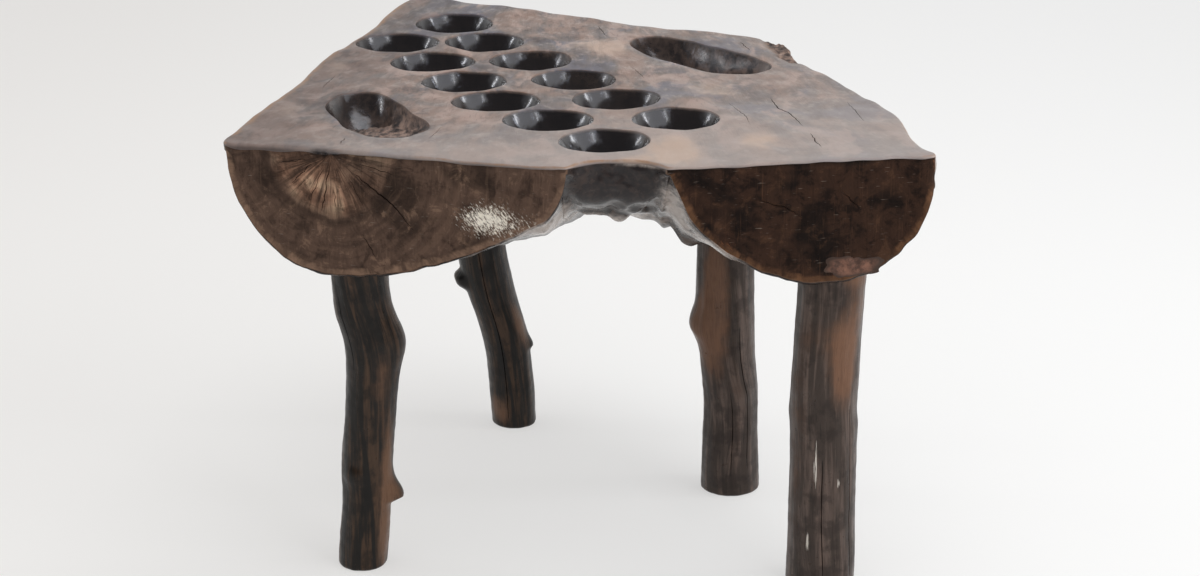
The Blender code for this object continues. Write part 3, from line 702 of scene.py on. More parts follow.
fork_first, fork_last = LEFT_COLUMNS, LEFT_COLUMNS + FORK_COLUMNS
corner_right, corner_stem, corner_left = ACROSS, ACROSS + DEEP, 2 * ACROSS + DEEP
print("left end:", sawn_end(0, fork_first, FINISH_LEFT, LEFT_CHECKS), "triangles")
print("right end:", sawn_end(fork_last, corner_right, FINISH_RIGHT, RIGHT_CHECKS), "triangles")
print("stem end:", sawn_end(corner_stem, corner_left, FINISH_STEM, STEM_CHECKS), "triangles")
wrapped = np.concatenate([walls, walls[:, :1]], 1)
for first, last in ((fork_first, fork_last), (corner_right, corner_stem), (corner_left, len(walked))):
    piece_of_wall = wrapped[:, first:last + 1]
    patch(piece_of_wall, grid_triangles(*piece_of_wall.shape[:2]), FINISH_LOG)
heel_wear = 0.5 * (1 - HEEL[:, None]) * (1 - in_fork)
patch(heeled, grid_triangles(len(HEEL), len(walked), True), FINISH_LOG, 0, heel_wear)

# %% [markdown]
# ## The flat top
# The top sheet fills the space between the rolled edge and the mouths of the hollows. Long drying checks
# cross the right limb along its grain, and a short one runs from the left store to the edge. Their places
# are written in millimetres of the plan.

# %% Top sheet
TOP_CHECKS = (
    (((218.7, -121.7), (224.8, -175.8), (236.6, -206.7), (247.9, -258.3)), 1.8, 6),
    (((253.7, -287.7), (262.8, -345.1)), 1.5, 5), (((-255.5, -305), (-258.8, -334)), 1.2, 4),
    (((305, -150), (318, -235)), 0.9, 3), (((170, -150), (186, -210), (190, -250)), 0.9, 2.5),
    (((-290, -20), (-300, -90)), 0.9, 2.5), (((20, 230), (32, 165)), 1.0, 3),
    (((-150, -250), (-165, -310)), 0.8, 2.5), (((196, 140), (206, 95)), 1.2, 4),
    (((60, 20), (75, -40)), 0.8, 2.5),
)
TOP_SPACING = 0.0075
LEFT_RUB_REACH = 0.008

grooves = checks_in_mm(TOP_CHECKS, (0, 0), 40)
flat, triangles, sunk = sheet_of(rolled[0, :, :2], [*pit_mouths, *store_mouths], grooves, TOP_SPACING)
left_rim = rolled[0, on_left > 0.5, :2]
off_left = np.linalg.norm(flat[:, None] - left_rim, axis=-1).min(1)
left_rub = LEFT_RUB * np.exp(-(off_left / LEFT_RUB_REACH) ** 2)
patch(np.column_stack([flat, TOP - sunk]), triangles, FINISH_TOP, ease(sunk, 0, 0.004), left_rub)
print("top sheet:", len(triangles), "triangles")

# %% [markdown]
# ## The round underside
# The plan of the underside is filled in from its four edge curves: it adds the two blends between facing
# edges and takes away the blend of the corners. The depth formula then bends it into the back of the log.

# %% Underside
inner = heeled[-1, :, :2]
front, right = inner[:ACROSS + 1], inner[ACROSS:ACROSS + DEEP + 1]
stem = inner[ACROSS + DEEP:2 * ACROSS + DEEP + 1][::-1]
left = np.concatenate([inner[2 * ACROSS + DEEP:], inner[:1]])[::-1]
share, back = columns[:, None, None], rows[None, :, None]
filled = (1 - back) * front[:, None] + back * stem[:, None] + (1 - share) * left[None] + share * right[None]
filled -= (1 - back) * ((1 - share) * front[0] + share * front[-1])
filled -= back * ((1 - share) * stem[0] + share * stem[-1])
under = depth(*np.broadcast_arrays(columns[:, None], rows[None, :], lengths[:, None]))
print("underside is", round(1000 * under.max()), "mm deep")

# %% [markdown]
# ## The crotch of the tree
# Where two limbs part, the wood wells up in folds and knobs. Each is a bell-shaped swelling added to the
# depth, a fold along a bent line and a knob round a point, over soft waves drawn out along the log. All
# fade out at the rim, so that the underside still meets the walls.

# %% Knobs and folds
CROTCH_LUMPS = ((0.0010, 0.10, 51), (0.0005, 0.035, 52))
MOUTH_LUMPS = ((0.0010, 0.034, 53), (0.0003, 0.014, 54))
DRAWN_OUT = (3, 0.6)
KNOBS = ((0.040, -0.322, 0.0135, 0.0145), (0.120, -0.296, 0.0115, 0.0165), (-0.012, -0.235, -0.009, 0.032),
         (0.094, -0.265, 0.010, 0.024))
FOLDS = (
    (((0.024, -0.324), (0.041, -0.339), (0.048, -0.364), (0.056, -0.380), (0.072, -0.386), (0.090, -0.383)),
     0.0038, 0.006),
    (((0.061, -0.345), (0.073, -0.326), (0.087, -0.308), (0.104, -0.300), (0.122, -0.298)), 0.0045, 0.007),
    (((-0.034, -0.395), (-0.022, -0.366), (-0.004, -0.335), (0.012, -0.318)), 0.0040, 0.009),
)


def off_path(spots, path):
    """Distance in the plan from a bent line: the least distance to any of its straight runs."""
    start, run = path[:-1], np.diff(path, axis=0)
    share = (((spots[..., None, :] - start) * run).sum(-1) / (run ** 2).sum(-1)).clip(0, 1)
    return np.linalg.norm(spots[..., None, :] - start - share[..., None] * run, axis=-1).min(-1)


fade = ease(np.minimum(columns, 1 - columns)[:, None] * np.minimum(rows, 1 - rows)[None, :], 0, 0.02)
in_crotch = ease(hump(filled, FORK_MOUTH + (0, 0.10), (0.20, 0.16)), 0.15, 0.55)
by_fork = hump(filled, FORK_MOUTH + (0, 0.05), (0.075, 0.06))
under = under + fade * in_crotch * lumps_of(CROTCH_LUMPS, filled * DRAWN_OUT, filled)
under = under + fade * by_fork * lumps_of(MOUTH_LUMPS, filled, filled)
for x, y, proud, reach in KNOBS:
    under = under + fade * proud * hump(filled, (x, y), reach)
for path, proud, reach in FOLDS:
    under = under + fade * proud * np.exp(-(off_path(filled, np.array(path)) / reach) ** 2)
print("knobs:", len(KNOBS), "folds:", len(FOLDS))

# %% [markdown]
# ## Ridges of the peeled log
# Behind the crotch the back of the log has ridges along its fibres. They push the surface out square to
# itself, since a push straight down would draw vertical ribs on the steep sides.

# %% Ridges
RIDGES = ((0.0013, 0.050, 55), (0.0007, 0.020, 56))
ALONG_FIBRE = 0.15

underside = np.concatenate([filled, (TOP - under)[..., None]], -1)
to_right, to_stem = np.gradient(underside, axis=(0, 1))
bulging = np.cross(to_stem, to_right)
bulging /= np.linalg.norm(bulging, axis=-1, keepdims=True)
fibre_spot = np.stack([
    FRONT_LENGTH * columns[:, None] + 0 * under, ALONG_FIBRE * rows * lengths[:, None], under], -1)
ridges = (1 - in_crotch) * lumps_of(RIDGES, fibre_spot, fibre_spot)
ridges = ridges * ease(np.minimum(columns, 1 - columns), 0, 0.012)[:, None]
ridges = ridges * ease(np.minimum(rows, 1 - rows), 0, 0.08)
underside = underside + ridges[..., None] * bulging
patch(underside, grid_triangles(ACROSS + 1, DEEP + 1), FINISH_LOG)
print("ridges up to", round(1000 * np.abs(ridges).max(), 1), "mm high")

# %% [markdown]
# ## One closed skin
# The patches are joined by giving points that lie at the same place one number. Rounding to a micrometre
# and asking numpy for the unique rows does that without a loop. Triangles that shrink to a line at the
# bottom of a bowl are dropped. A second function turns arrays into a mesh object and counts the edges
# that are left open.

# %% Weld and mesh
MICRONS = 1e6
SHARP_EDGE = math.radians(48)


def weld(points, triangles, values, finishes):
    """Points that round to the same micrometre become one; triangles that lose a corner go."""
    spots = np.round(points * MICRONS).astype(np.int64)
    _, first, place = np.unique(spots, axis=0, return_index=True, return_inverse=True)
    triangles = place.reshape(-1)[triangles]
    whole = (triangles != np.roll(triangles, 1, 1)).all(1)
    return points[first], triangles[whole], values[first], finishes[whole]


def make(name, points, triangles, finishes, materials, attributes):
    """Mesh object at the origin from arrays, with its attributes, finishes and outward faces."""
    mesh = bpy.data.meshes.new(name)
    mesh.vertices.add(len(points))
    mesh.vertices.foreach_set("co", points.ravel())
    mesh.loops.add(triangles.size)
    mesh.loops.foreach_set("vertex_index", triangles.ravel().astype(np.int32))
    mesh.polygons.add(len(triangles))
    mesh.polygons.foreach_set("loop_start", np.arange(0, triangles.size, 3, dtype=np.int32))
    for material in materials:
        mesh.materials.append(material)
    mesh.polygons.foreach_set("material_index", finishes.astype(np.int32))
    for label, value in attributes.items():
        kind, field = ("FLOAT", "value") if value.ndim == 1 else ("FLOAT_VECTOR", "vector")
        mesh.attributes.new(label, kind, "POINT").data.foreach_set(field, value.ravel())
    mesh.update(calc_edges=True)
    shell = bmesh.new()
    shell.from_mesh(mesh)
    bmesh.ops.recalc_face_normals(shell, faces=shell.faces)
    open_edges = sum(not edge.is_manifold for edge in shell.edges)
    shell.to_mesh(mesh)
    shell.free()
    mesh.shade_smooth()
    mesh.set_sharp_from_angle(angle=SHARP_EDGE)
    piece = bpy.data.objects.new(name, mesh)
    bpy.context.scene.collection.objects.link(piece)
    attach(piece, "root")
    print(name, len(points), "points", len(triangles), "triangles", open_edges, "open edges")
    return piece


starts = np.cumsum([0] + [len(points) for points, *_ in patches])
points, triangles, values, finishes = weld(
    np.vstack([points for points, *_ in patches]),
    np.vstack([triangles + start for (_, triangles, *_), start in zip(patches, starts)]),
    np.vstack([values for *_, values in patches]),
    np.concatenate([finishes for _, _, finishes, _ in patches]))
print("slab:", len(points), "points")

# %% [markdown]
# ## Where the fibres run
# Each point keeps its place in the grain. The fibres of the two limbs fan out from a point far behind the
# stem, so polar coordinates about that point run across and along them.

# %% Grain
GRAIN_POINT = np.array([-0.0277, 1.2470])
GRAIN_SPREAD = 1.5

from_grain_point = points[:, :2] - GRAIN_POINT
grain = np.column_stack([
    GRAIN_SPREAD * np.arctan2(from_grain_point[:, 0], -from_grain_point[:, 1]),
    np.linalg.norm(from_grain_point, axis=1), points[:, 2]])
print("grain runs over", round(float(np.ptp(grain[:, 1])), 2), "m")

# %% [markdown]
# ## Wear on the whole skin
# The top of a used table is not a plane, so all points near it sink by a soft wave. A piece has broken
# off the edge on the right, beyond a bowed line, and left a rough, lower ledge. Three nicks dent the
# front left edge, and low lumps roughen everything under the top.

# %% Sag, chip, bark and nicks
SAG = ((0.0006, 0.16, 61), (0.0003, 0.05, 62))
SAG_DOWN = 0.0010
CHIP_START, CHIP_END = np.array([0.2214, 0.1593]), np.array([0.2619, 0.0160])
CHIP_BOW, CHIP_DEEP = 0.010, 0.0028
CHIP_ROUGH = ((0.0011, 0.020, 63), (0.0006, 0.009, 66))
BARK = ((0.0007, 0.026, 64), (0.0002, 0.010, 65))
NICKS = ((0.1045, 0.0060), (0.1140, 0.0030), (0.1240, 0.0065))
NICK_IN, NICK_DOWN, NICK_BELOW, NICK_TALL = 0.0030, 0.0020, 0.0048, 0.0028

plan = points[:, :2]
chip_length = np.linalg.norm(CHIP_END - CHIP_START)
chip_run = (CHIP_END - CHIP_START) / chip_length
chip_along = (plan - CHIP_START) @ chip_run / chip_length
beyond = (plan - CHIP_START) @ np.array([-chip_run[1], chip_run[0]])
beyond = beyond + CHIP_BOW * np.sin(np.pi * chip_along.clip(0, 1))
chip = ease(beyond, -0.001, 0.006) * ease(chip_along, -0.5, -0.1) * ease(-chip_along, -1.0, -0.75)
sag = lumps_of(SAG, plan, plan) - SAG_DOWN - chip * (CHIP_DEEP + lumps_of(CHIP_ROUGH, plan, plan))
points[:, 2] += sag * ease(points[:, 2], TOP - 0.03, TOP)
smoother = 1 - 0.75 * hump(points[:, :2], FORK_MOUTH + (0.02, 0.08), (0.13, 0.13))
points[:, 2] -= lumps_of(BARK, points, points) * smoother * ease(TOP - points[:, 2], 0.03, 0.09)
from_corner = points[:, :2] - FRONT_LEFT
edge_along, edge_behind = (from_corner @ heading(bearing - LEFT_TURN) for bearing in (0, 90))
nick = sum(np.exp(-((edge_along - at) / reach) ** 2) for at, reach in NICKS).clip(0, 1)
nick = nick * ease(-edge_behind, -0.009, -0.003)
nick = nick * np.exp(-((TOP - NICK_BELOW - points[:, 2]) / NICK_TALL) ** 2)
points[:, :2] += NICK_IN * nick[:, None] * heading(90 - LEFT_TURN)
points[:, 2] -= NICK_DOWN * nick
print("chip touches", int((chip > 0.5).sum()), "points, nicks", int((nick > 0.5).sum()))

# %% [markdown]
# ## Pale places
# Some wood is paler: patches of the top where hands rest, the flaked patch on the left end, the shelves of
# the stores and the broken chip have lost their dark skin, and the flanks and folds of the crotch are partly
# rubbed bare and partly a painted reflection. Each is a bell shape at its place, and their sum rides on the
# mesh as one number.

# %% Pale places
TOP_PALE = (
    (0.102, -0.352, 0.034, 0.058, 1.0), (0.060, -0.392, 0.030, 0.018, 0.6),
    (-0.330, -0.190, 0.030, 0.070, 0.45), (-0.290, 0.020, 0.020, 0.120, 0.5),
    (0.199, -0.316, 0.026, 0.045, 0.75), (-0.150, -0.300, 0.050, 0.040, 0.35),
    (0.020, 0.110, 0.060, 0.060, 0.6), (0.300, -0.250, 0.040, 0.080, 0.3),
    (0.150, -0.100, 0.045, 0.045, 0.55),
)
# The four places round the crotch are partly rubbed wood and partly a painted reflection of the bright
# floor.
END_PALE = (
    ((-0.0975, -0.4000, 0.434), (0.048, 0.024, 0.024)),
    ((0.105, -0.385, 0.450), (0.020, 0.050, 0.040)), ((0.150, -0.380, 0.400), (0.030, 0.050, 0.030)),
    ((0.384, -0.373, 0.489), (0.006, 0.010, 0.011)),
    ((0.040, -0.300, 0.405), (0.060, 0.070, 0.016)), ((-0.030, -0.370, 0.420), (0.030, 0.050, 0.030)),
)
SHELF_PALE = ((-0.203, -0.225, 0.060, 0.085, 1.0), (0.165, 0.045, 0.12, 0.12, 0.45))


def pale_in_plan(spots):
    """Sum of bell shapes in the plan, each with its place, its reaches and its strength."""
    return sum(size * hump(points[:, :2], (x, y), (wide, deep)) for x, y, wide, deep, size in spots)


pale = pale_in_plan(TOP_PALE) * ease(points[:, 2], TOP - 0.012, TOP - 0.004)
pale = pale + sum(hump(points, *place) for place in END_PALE) + pale_in_plan(SHELF_PALE) * values[:, 0]
broken = chip * ease(points[:, 2], TOP - 0.03, TOP - 0.01)
pale = np.maximum(pale, 0.9 * broken)
hollow = np.max([values[:, 0], broken, nick], 0)
slab_attributes = {"grain": grain, "hollow": hollow, "wear": values[:, 1], "pale": pale.clip(0, 1)}
slab_mesh = (points, triangles, finishes)
print("pale points:", int((pale > 0.5).sum()))

# %% [markdown]
# ## Branch legs
# Each leg is a length of branch: nearly round, a little crooked, with knots, a stub or a broken twig, and
# drying checks. Its head stands at a distance along a side from a corner and an inset from that side.
# Half thickness and sway are measured at seven even heights from the head down, in metres. A knot has its
# depth below the top, bearing, rise, reach, how far it is drawn up and how blunt it is. A check has its
# bearing, its two ends and its depth in millimetres. A place of brown wood or painted sheen, or a scuffed
# place, has its bearing, depth below the top, spread in degrees, reach and strength.

# %% Measured legs
LEGS = {
    "leg_front_left": {
        "corner": FRONT_LEFT, "way": -LEFT_TURN, "along": 0.135,
        "inward": 90 - LEFT_TURN, "inset": 0.0375,
        "foot_shift": (-0.004, 0.005), "twist": 0.9,
        "half": (0.0325, 0.0315, 0.0310, 0.0295, 0.0288, 0.0275, 0.0270),
        "sway": (0.000, 0.004, 0.0145, 0.0115, 0.007, 0.004, 0.000),
        "knots": ((0.228, 8, 0.0065, 0.026, 1, 1), (0.416, 0, 0.0145, 0.010, 2, 1),
                  (0.385, -118, 0.004, 0.011, 1, 1), (0.195, -150, 0.002, 0.015, 1, 1)),
        "checks": ((-122, 0.17, 0.26, 1.2), (60, 0.2, 0.45, 2.5), (170, 0.18, 0.42, 2.5)),
        "brown_and_sheen": ((-35, 0.40, 30, 0.09, 0.9), (-70, 0.26, 30, 0.07, 0.55), (-15, 0.47, 30, 0.04, 0.6)),
        "scuffs": (),
    },
    "leg_front_right": {
        "corner": FRONT_RIGHT, "way": 180 + RIGHT_TURN, "along": 0.101,
        "inward": 90 + RIGHT_TURN, "inset": 0.0410,
        "foot_shift": (-0.007, -0.014), "twist": 0.25,
        "half": (0.0374, 0.0370, 0.0371, 0.0367, 0.0370, 0.0376, 0.0380),
        "sway": (0.001, -0.001, -0.003, -0.003, -0.0015, -0.001, 0.000),
        "knots": ((0.300, 150, 0.003, 0.015, 1, 1), (0.315, -10, 0.0015, 0.012, 1, 1)),
        "checks": ((-97, 0.34, 0.49, 1.5), (-42, 0.28, 0.49, 2.0), (40, 0.2, 0.48, 3.0),
                   (150, 0.18, 0.4, 3)),
        # The broad place at -150 degrees is a painted sheen on the left side of this leg; the others are
        # brown wood.
        "brown_and_sheen": ((-60, 0.240, 30, 0.055, 1.0), (-25, 0.17, 40, 0.04, 0.6), (-95, 0.20, 40, 0.03, 0.35),
                  (-150, 0.33, 40, 0.20, 0.5), (-45, 0.130, 35, 0.016, 1.0)),
        "scuffs": ((-106, 0.356, 4.5, 0.046, 1), (-116, 0.441, 4.5, 0.018, 1), (-66, 0.372, 4.5, 0.010, 1)),
    },
    "leg_back_left": {
        "corner": FRONT_LEFT, "way": 90 - LEFT_LEAN, "along": 0.4795,
        "inward": -LEFT_LEAN, "inset": 0.1475,
        "foot_shift": (0.047, 0.025), "twist": -0.3,
        "half": (0.0320, 0.0320, 0.0315, 0.0305, 0.0293, 0.0281, 0.0285),
        "sway": (0.000, -0.006, -0.010, -0.0075, 0.003, 0.0035, 0.000),
        "knots": ((0.302, 184, 0.0105, 0.012, 1, 2), (0.391, -4, 0.005, 0.008, 1.5, 1)),
        "checks": ((-95, 0.25, 0.49, 2.2), (80, 0.22, 0.46, 2.5), (165, 0.35, 0.48, 2)),
        "brown_and_sheen": ((-130, 0.475, 40, 0.025, 0.9), (-30, 0.36, 30, 0.04, 0.8)),
        "scuffs": (),
    },
    "leg_back_right": {
        "corner": FRONT_RIGHT, "way": 90 + RIGHT_LEAN, "along": 0.329,
        "inward": 180 + RIGHT_LEAN, "inset": 0.1365,
        "foot_shift": (0.010, 0.004), "twist": 0.35,
        "half": (0.0320, 0.0325, 0.0345, 0.0340, 0.0323, 0.0333, 0.0355),
        "sway": (0.000, -0.0015, -0.002, -0.002, 0.0025, 0.0015, 0.000),
        "knots": ((0.288, 186, 0.0095, 0.020, 1, 1), (0.372, -70, 0.003, 0.011, 1, 1)),
        "checks": ((-62, 0.28, 0.47, 1.6), (-96, 0.36, 0.48, 1.1), (30, 0.25, 0.48, 3.0),
                   (120, 0.22, 0.45, 2.5)),
        "brown_and_sheen": ((-112, 0.24, 34, 0.10, 1.0), (-150, 0.30, 40, 0.05, 0.9)),
        "scuffs": (),
    },
}
print("legs:", len(LEGS))

# %% [markdown]
# ## Curves and rings of a branch
# A leg is a grid of rings. Smooth curves run through the measured values, knots are bell-shaped
# swellings, and three columns of points stand close together along each check, so that it can open as a
# narrow groove.

# %% Curves, rings and knots
RING_SIDES = 84
CHECK_HALF = 0.018


def smooth(values, share):
    """Cubic curve through even values, with the slope between neighbours, read at shares from 0 to 1."""
    spans = len(values) - 1
    step = np.minimum((share * spans).astype(int), spans - 1)
    rest = share * spans - step
    padded = np.pad(np.array(values), 1, mode="edge")
    before, here, there, after = (padded[step + offset] for offset in range(4))
    rise, fall = (there - before) / 2, (after - here) / 2
    cubic = 2 * (here - there) + rise + fall
    return (cubic * rest + 3 * (there - here) - 2 * rise - fall) * rest ** 2 + rise * rest + here


def ring_bearings(checks):
    """Even bearings round a ring, with three close ones in place of those nearest to each check."""
    bearings = np.linspace(0, 2 * np.pi, RING_SIDES, endpoint=False)
    middles = np.radians([bearing % 360 for bearing, *_ in checks])
    apart = np.abs(half_turn(bearings[:, None] - middles))
    close = (middles[:, None] + CHECK_HALF * np.array([-1, 0, 1])).ravel()
    return np.sort(np.concatenate([bearings[apart.min(1) > 1.7 * CHECK_HALF], close]) % (2 * np.pi))


def knotted(knots, fibre, down, half):
    """Rise of all knots: bell shapes round and up the branch, drawn out upward and tucked in below."""
    total = np.zeros_like(fibre)
    for low, at, rise, reach, drawn_up, blunt in knots:
        away = half_turn(fibre - math.radians(at)) * half.mean() / reach
        up = (low - down[:, None]) / reach
        up = np.where(up > 0, up / drawn_up, up * drawn_up)
        total = total + rise * np.exp(-(up ** 2 + 0.5 * away ** 2) ** blunt)
    return total


def split_open(checks, bearing, down):
    """How far each point is sunk in a check: on its middle column, by a half sine of the way along it."""
    total = np.zeros((len(down), len(bearing)))
    for at, high, low, sink in checks:
        column = np.abs(half_turn(bearing - math.radians(at))) < CHECK_HALF / 2
        length = np.sin(np.pi * np.clip((down - high) / (low - high), 0, 1)) ** 0.6
        total = total + sink / 1000 * length[:, None] * column
    return total


def marked(spots, facing, down):
    """Sum of bell shapes over the bearing in degrees and the depth below the top."""
    total = np.zeros_like(facing)
    for at, low, spread, reach, size in spots:
        beside = (facing - at + 180) % 360 - 180
        total = total + size * np.exp(-(beside / spread) ** 2 - ((down[:, None] - low) / reach) ** 2)
    return total


print("points in a ring:", [len(ring_bearings(leg["checks"])) for leg in LEGS.values()])

# %% [markdown]
# ## Growing the branches
# The radius is the thickness with its knots and fine waves, less the checks. Fibres twist round the
# branch as they go down, and the knots and checks twist with them. The head runs a little way into the
# slab and the sole is rounded over by a few millimetres. A straightened copy of each point carries the
# pattern of the finish.

# %% Branches
RINGS = 150
SOLE_ROUND, SOLE_WIDTH = 0.004, 0.03
HEAD_SINK, HEAD_SHOWN = 0.030, 0.014
CHECK_SHOWS = 0.0004
FIBRE_WANDER = 0.02
BRANCH_WAVES = ((0.0004, 0.090, 2, 1), (0.00022, 0.012, 3, 0.10), (0.0001, 0.014, 4, 1))


def branch(leg, seed):
    """Rings down the branch: radius = thickness + knots + waves - checks, closed at head and sole."""
    head = leg["corner"] + leg["along"] * heading(leg["way"]) + leg["inset"] * heading(leg["inward"])
    nearest = np.linalg.norm(underside[..., :2] - head, axis=-1).argmin()
    seat = underside.reshape(-1, 3)[nearest, 2]
    drop = seat + HEAD_SINK
    round_over = np.linspace(0, np.pi / 2, 5)[1:]
    height = np.concatenate([
        np.full(2, seat + HEAD_SHOWN), np.linspace(seat + HEAD_SHOWN, SOLE_ROUND, RINGS),
        SOLE_ROUND * (1 - np.sin(round_over)), np.zeros(2)])
    sole = 1 - SOLE_ROUND / SOLE_WIDTH * (1 - np.cos(round_over))
    keep = np.concatenate([[0, 0.6], np.ones(RINGS), sole, [0.5, 0]])
    share = ((drop - height) / drop).clip(0, 1)
    down = TOP - height
    half = smooth(leg["half"], share)
    bearing = ring_bearings(leg["checks"])
    wander = FIBRE_WANDER * waves(height[:, None], 0.16, seed + 1)[:, None]
    fibre = bearing + leg["twist"] * (share[:, None] - 0.5) + wander
    ways = np.stack([np.cos(fibre), np.sin(fibre)], -1)
    level = half[:, None, None] * np.stack([np.cos(bearing), np.sin(bearing)], -1)
    straight = np.concatenate([level, down[:, None, None] + 0 * ways[..., :1]], -1)
    radius = half[:, None] + knotted(leg["knots"], fibre, down, half)
    for size, length, turn, drawn in BRANCH_WAVES:
        radius = radius + size * waves(straight * (1, 1, drawn), length, seed + turn)
    opened = split_open(leg["checks"], bearing, down)
    shaft = (radius - opened) * keep[:, None]
    x = head[0] + share * leg["foot_shift"][0] + smooth(leg["sway"], share)
    y = head[1] + share * leg["foot_shift"][1]
    spot = np.stack([x, y], -1)[:, None] + shaft[..., None] * ways
    points = np.concatenate([spot, height[:, None, None] + 0 * shaft[..., None]], -1)
    brown_and_sheen, scuffed = (marked(leg[label], np.degrees(fibre), down) for label in ("brown_and_sheen", "scuffs"))
    marks = np.stack([brown_and_sheen.clip(0, 1), opened > CHECK_SHOWS, scuffed], -1)
    values = np.concatenate([straight, marks], -1).reshape(-1, 6)
    triangles = grid_triangles(len(height), len(bearing), True)
    return weld(points.reshape(-1, 3), triangles, values, np.zeros(len(triangles)))


leg_meshes = {name: branch(leg, 100 + 10 * count) for count, (name, leg) in enumerate(LEGS.items())}
print("legs:", [len(mesh[0]) for mesh in leg_meshes.values()], "points")

# %% [markdown]
# ## The filler over the front right leg
# Somebody once closed a gap above that leg with reddish filler. It is a thumbed-in lump: a lens with an
# uncertain outline, a millimetre or two proud of the sawn face. Rings run from the middle of its front
# over the rim to the middle of its back, so the lens is closed.

# %% Filler
FILLER_SIDES, FRONT_RINGS, BACK_RINGS = 64, 12, 5
FILLER_HALF = (0.032, 0.012)
FILLER_PROUD, FILLER_RIM, FILLER_BACK = 0.0024, -0.0005, -0.007
FILLER_ALONG, FILLER_DOWN = 0.091, 0.1215
FILLER_FULL, FILLER_WAVES = 1.06, ((0.08, 1.1, 71), (0.02, 0.35, 72))
FILLER_LUMPS = 0.0004

filler_turn = np.linspace(0, 2 * np.pi, FILLER_SIDES, endpoint=False)
filler_way = np.stack([np.cos(filler_turn), np.sin(filler_turn)], -1)
filler_edge = FILLER_FULL + lumps_of(FILLER_WAVES, filler_way, filler_way)
filler_edge = filler_edge * (np.abs(filler_way) ** 3).sum(1) ** (-1 / 3)
front_out = np.linspace(0, 1, FRONT_RINGS)
filler_out = np.concatenate([front_out, np.linspace(1, 0, BACK_RINGS + 1)[1:]])
front_rise = FILLER_PROUD * (1 - front_out ** 3) + FILLER_RIM
filler_rise = np.concatenate([front_rise, np.full(BACK_RINGS, FILLER_BACK)])
filler_plane = filler_out[:, None, None] * (filler_edge[:, None] * filler_way * FILLER_HALF)[None]
proud_of_end = (filler_rise > 0) * (1 - filler_out ** 4)
filler_face = filler_rise[:, None] + FILLER_LUMPS * waves(filler_plane, 0.016, 73) * proud_of_end[:, None]
filler_spot = FRONT_RIGHT + FILLER_ALONG * heading(180 + RIGHT_TURN)
filler_plan = filler_spot - filler_plane[..., :1] * heading(RIGHT_TURN)
filler_plan = filler_plan - filler_face[..., None] * heading(90 + RIGHT_TURN)
filler_height = TOP - FILLER_DOWN + filler_plane[..., 1:]
filler_points = np.concatenate([filler_plan, filler_height], -1).reshape(-1, 3)
filler_triangles = grid_triangles(len(filler_out), FILLER_SIDES, True)
filler_thin = np.repeat(filler_out ** 2, FILLER_SIDES)
filler_mesh = weld(filler_points, filler_triangles, filler_thin, np.zeros(len(filler_triangles)))
print("filler:", len(filler_mesh[0]), "points")

# %% [markdown]
# ## Colours and nodes
# Colours are written as they look on a screen, in hex, and one function turns them into the linear values
# that a renderer adds up. One small function adds a node, sets it and links it, so that each finish reads
# as a list. Most finishes are layers of tone over a ground colour, as stain, soot and wear are on the
# real wood: each layer has the value that drives it, the range over which it sets in, its greatest share
# and its tone.

# %% Colour and node helpers
MIX = {"data_type": "RGBA"}
SOFT = {"interpolation_type": "SMOOTHSTEP"}


def linear(code):
    """Screen hex to linear light: a power law with a short straight foot."""
    screen = np.array([int(code[place:place + 2], 16) / 255 for place in (1, 3, 5)])
    light = np.where(screen <= 0.04045, screen / 12.92, ((screen + 0.055) / 1.055) ** 2.4)
    return (*light.tolist(), 1.0)


def node(tree, kind, inputs=None, out=0, **settings):
    """Adds a node with its settings; inputs are values or other nodes' outputs. Gives back one output."""
    made = tree.nodes.new("ShaderNode" + kind)
    for label, value in settings.items():
        setattr(made, label, value)
    for label, value in (inputs or {}).items():
        if isinstance(value, bpy.types.NodeSocket):
            tree.links.new(value, made.inputs[label])
        else:
            made.inputs[label].default_value = value
    return made.outputs[out]


def finish(name, ior, **sockets):
    """New material with its main shader; sockets are constants that hold all over the surface."""
    material = bpy.data.materials.new(name)
    material.use_nodes = True
    tree = material.node_tree
    shader = tree.nodes["Principled BSDF"]
    shader.inputs["IOR"].default_value = ior
    for label, value in sockets.items():
        shader.inputs[label.replace("_", " ")].default_value = value
    return material, tree, shader


def layered(tree, colour, *layers):
    """Lays tones over a colour, each by a smooth share of its value between low and high, times its most."""
    for value, low, high, most, tone in layers:
        share = node(tree, "MapRange", {
            "Value": value, "From Min": low, "From Max": high, "To Max": most}, **SOFT)
        tone = linear(tone) if isinstance(tone, str) else tone
        colour = node(tree, "Mix", {0: share, 6: colour, 7: tone}, 2, **MIX)
    return colour


def dress(tree, shader, **sockets):
    """Links what was worked out to the main shader's sockets."""
    for label, value in sockets.items():
        tree.links.new(value, shader.inputs[label.replace("_", " ")])


print("black", linear("#000000")[:3], "white", linear("#ffffff")[:3])

# %% [markdown]
# ## Oiled, hand-worn hardwood
# The top has been oiled, handled and dusted for decades. Grey-brown wood shows pinkish and bluish clouds
# some 90 mm across, streaks 6 mm wide that follow the fibres, and dark pores. Towards the front right it is
# lighter, partly bleached wood and partly a painted sheen, and along the left side it is painted darker, a
# painted shade. Whatever lies more than 2 mm below the top, such as the lower part of the arris, is painted
# darker too, a painted shade. Rims and arrises are rubbed to tan wood. Down in the pits oil and soot have
# gathered to a near-black, and where the shelves of the stores are scraped bare, pale wood shows.

# %% Colour of the top
TOP_LAYERS = (
    ("streak", 0.34, 0.66, 0.7, "#84766f"), ("stain", 0.48, 0.60, 0.75, "#9c8071"),
    ("stain", 0.50, 0.39, 0.85, "#67656f"), ("cloud", 0.52, 0.64, 0.70, "#b1968a"),
    ("cloud", 0.47, 0.37, 0.65, "#554d4d"), ("blot", 0.46, 0.34, 0.30, "#b5a49a"),
    ("blot", 0.57, 0.72, 0.40, "#4a403c"), ("pore", 0.60, 0.72, 0.50, "#362d29"))
LEFT_SIDE = float(FRONT_LEFT @ heading(-LEFT_LEAN))
BLEACH_AND_SHEEN_FORWARD = 5.7


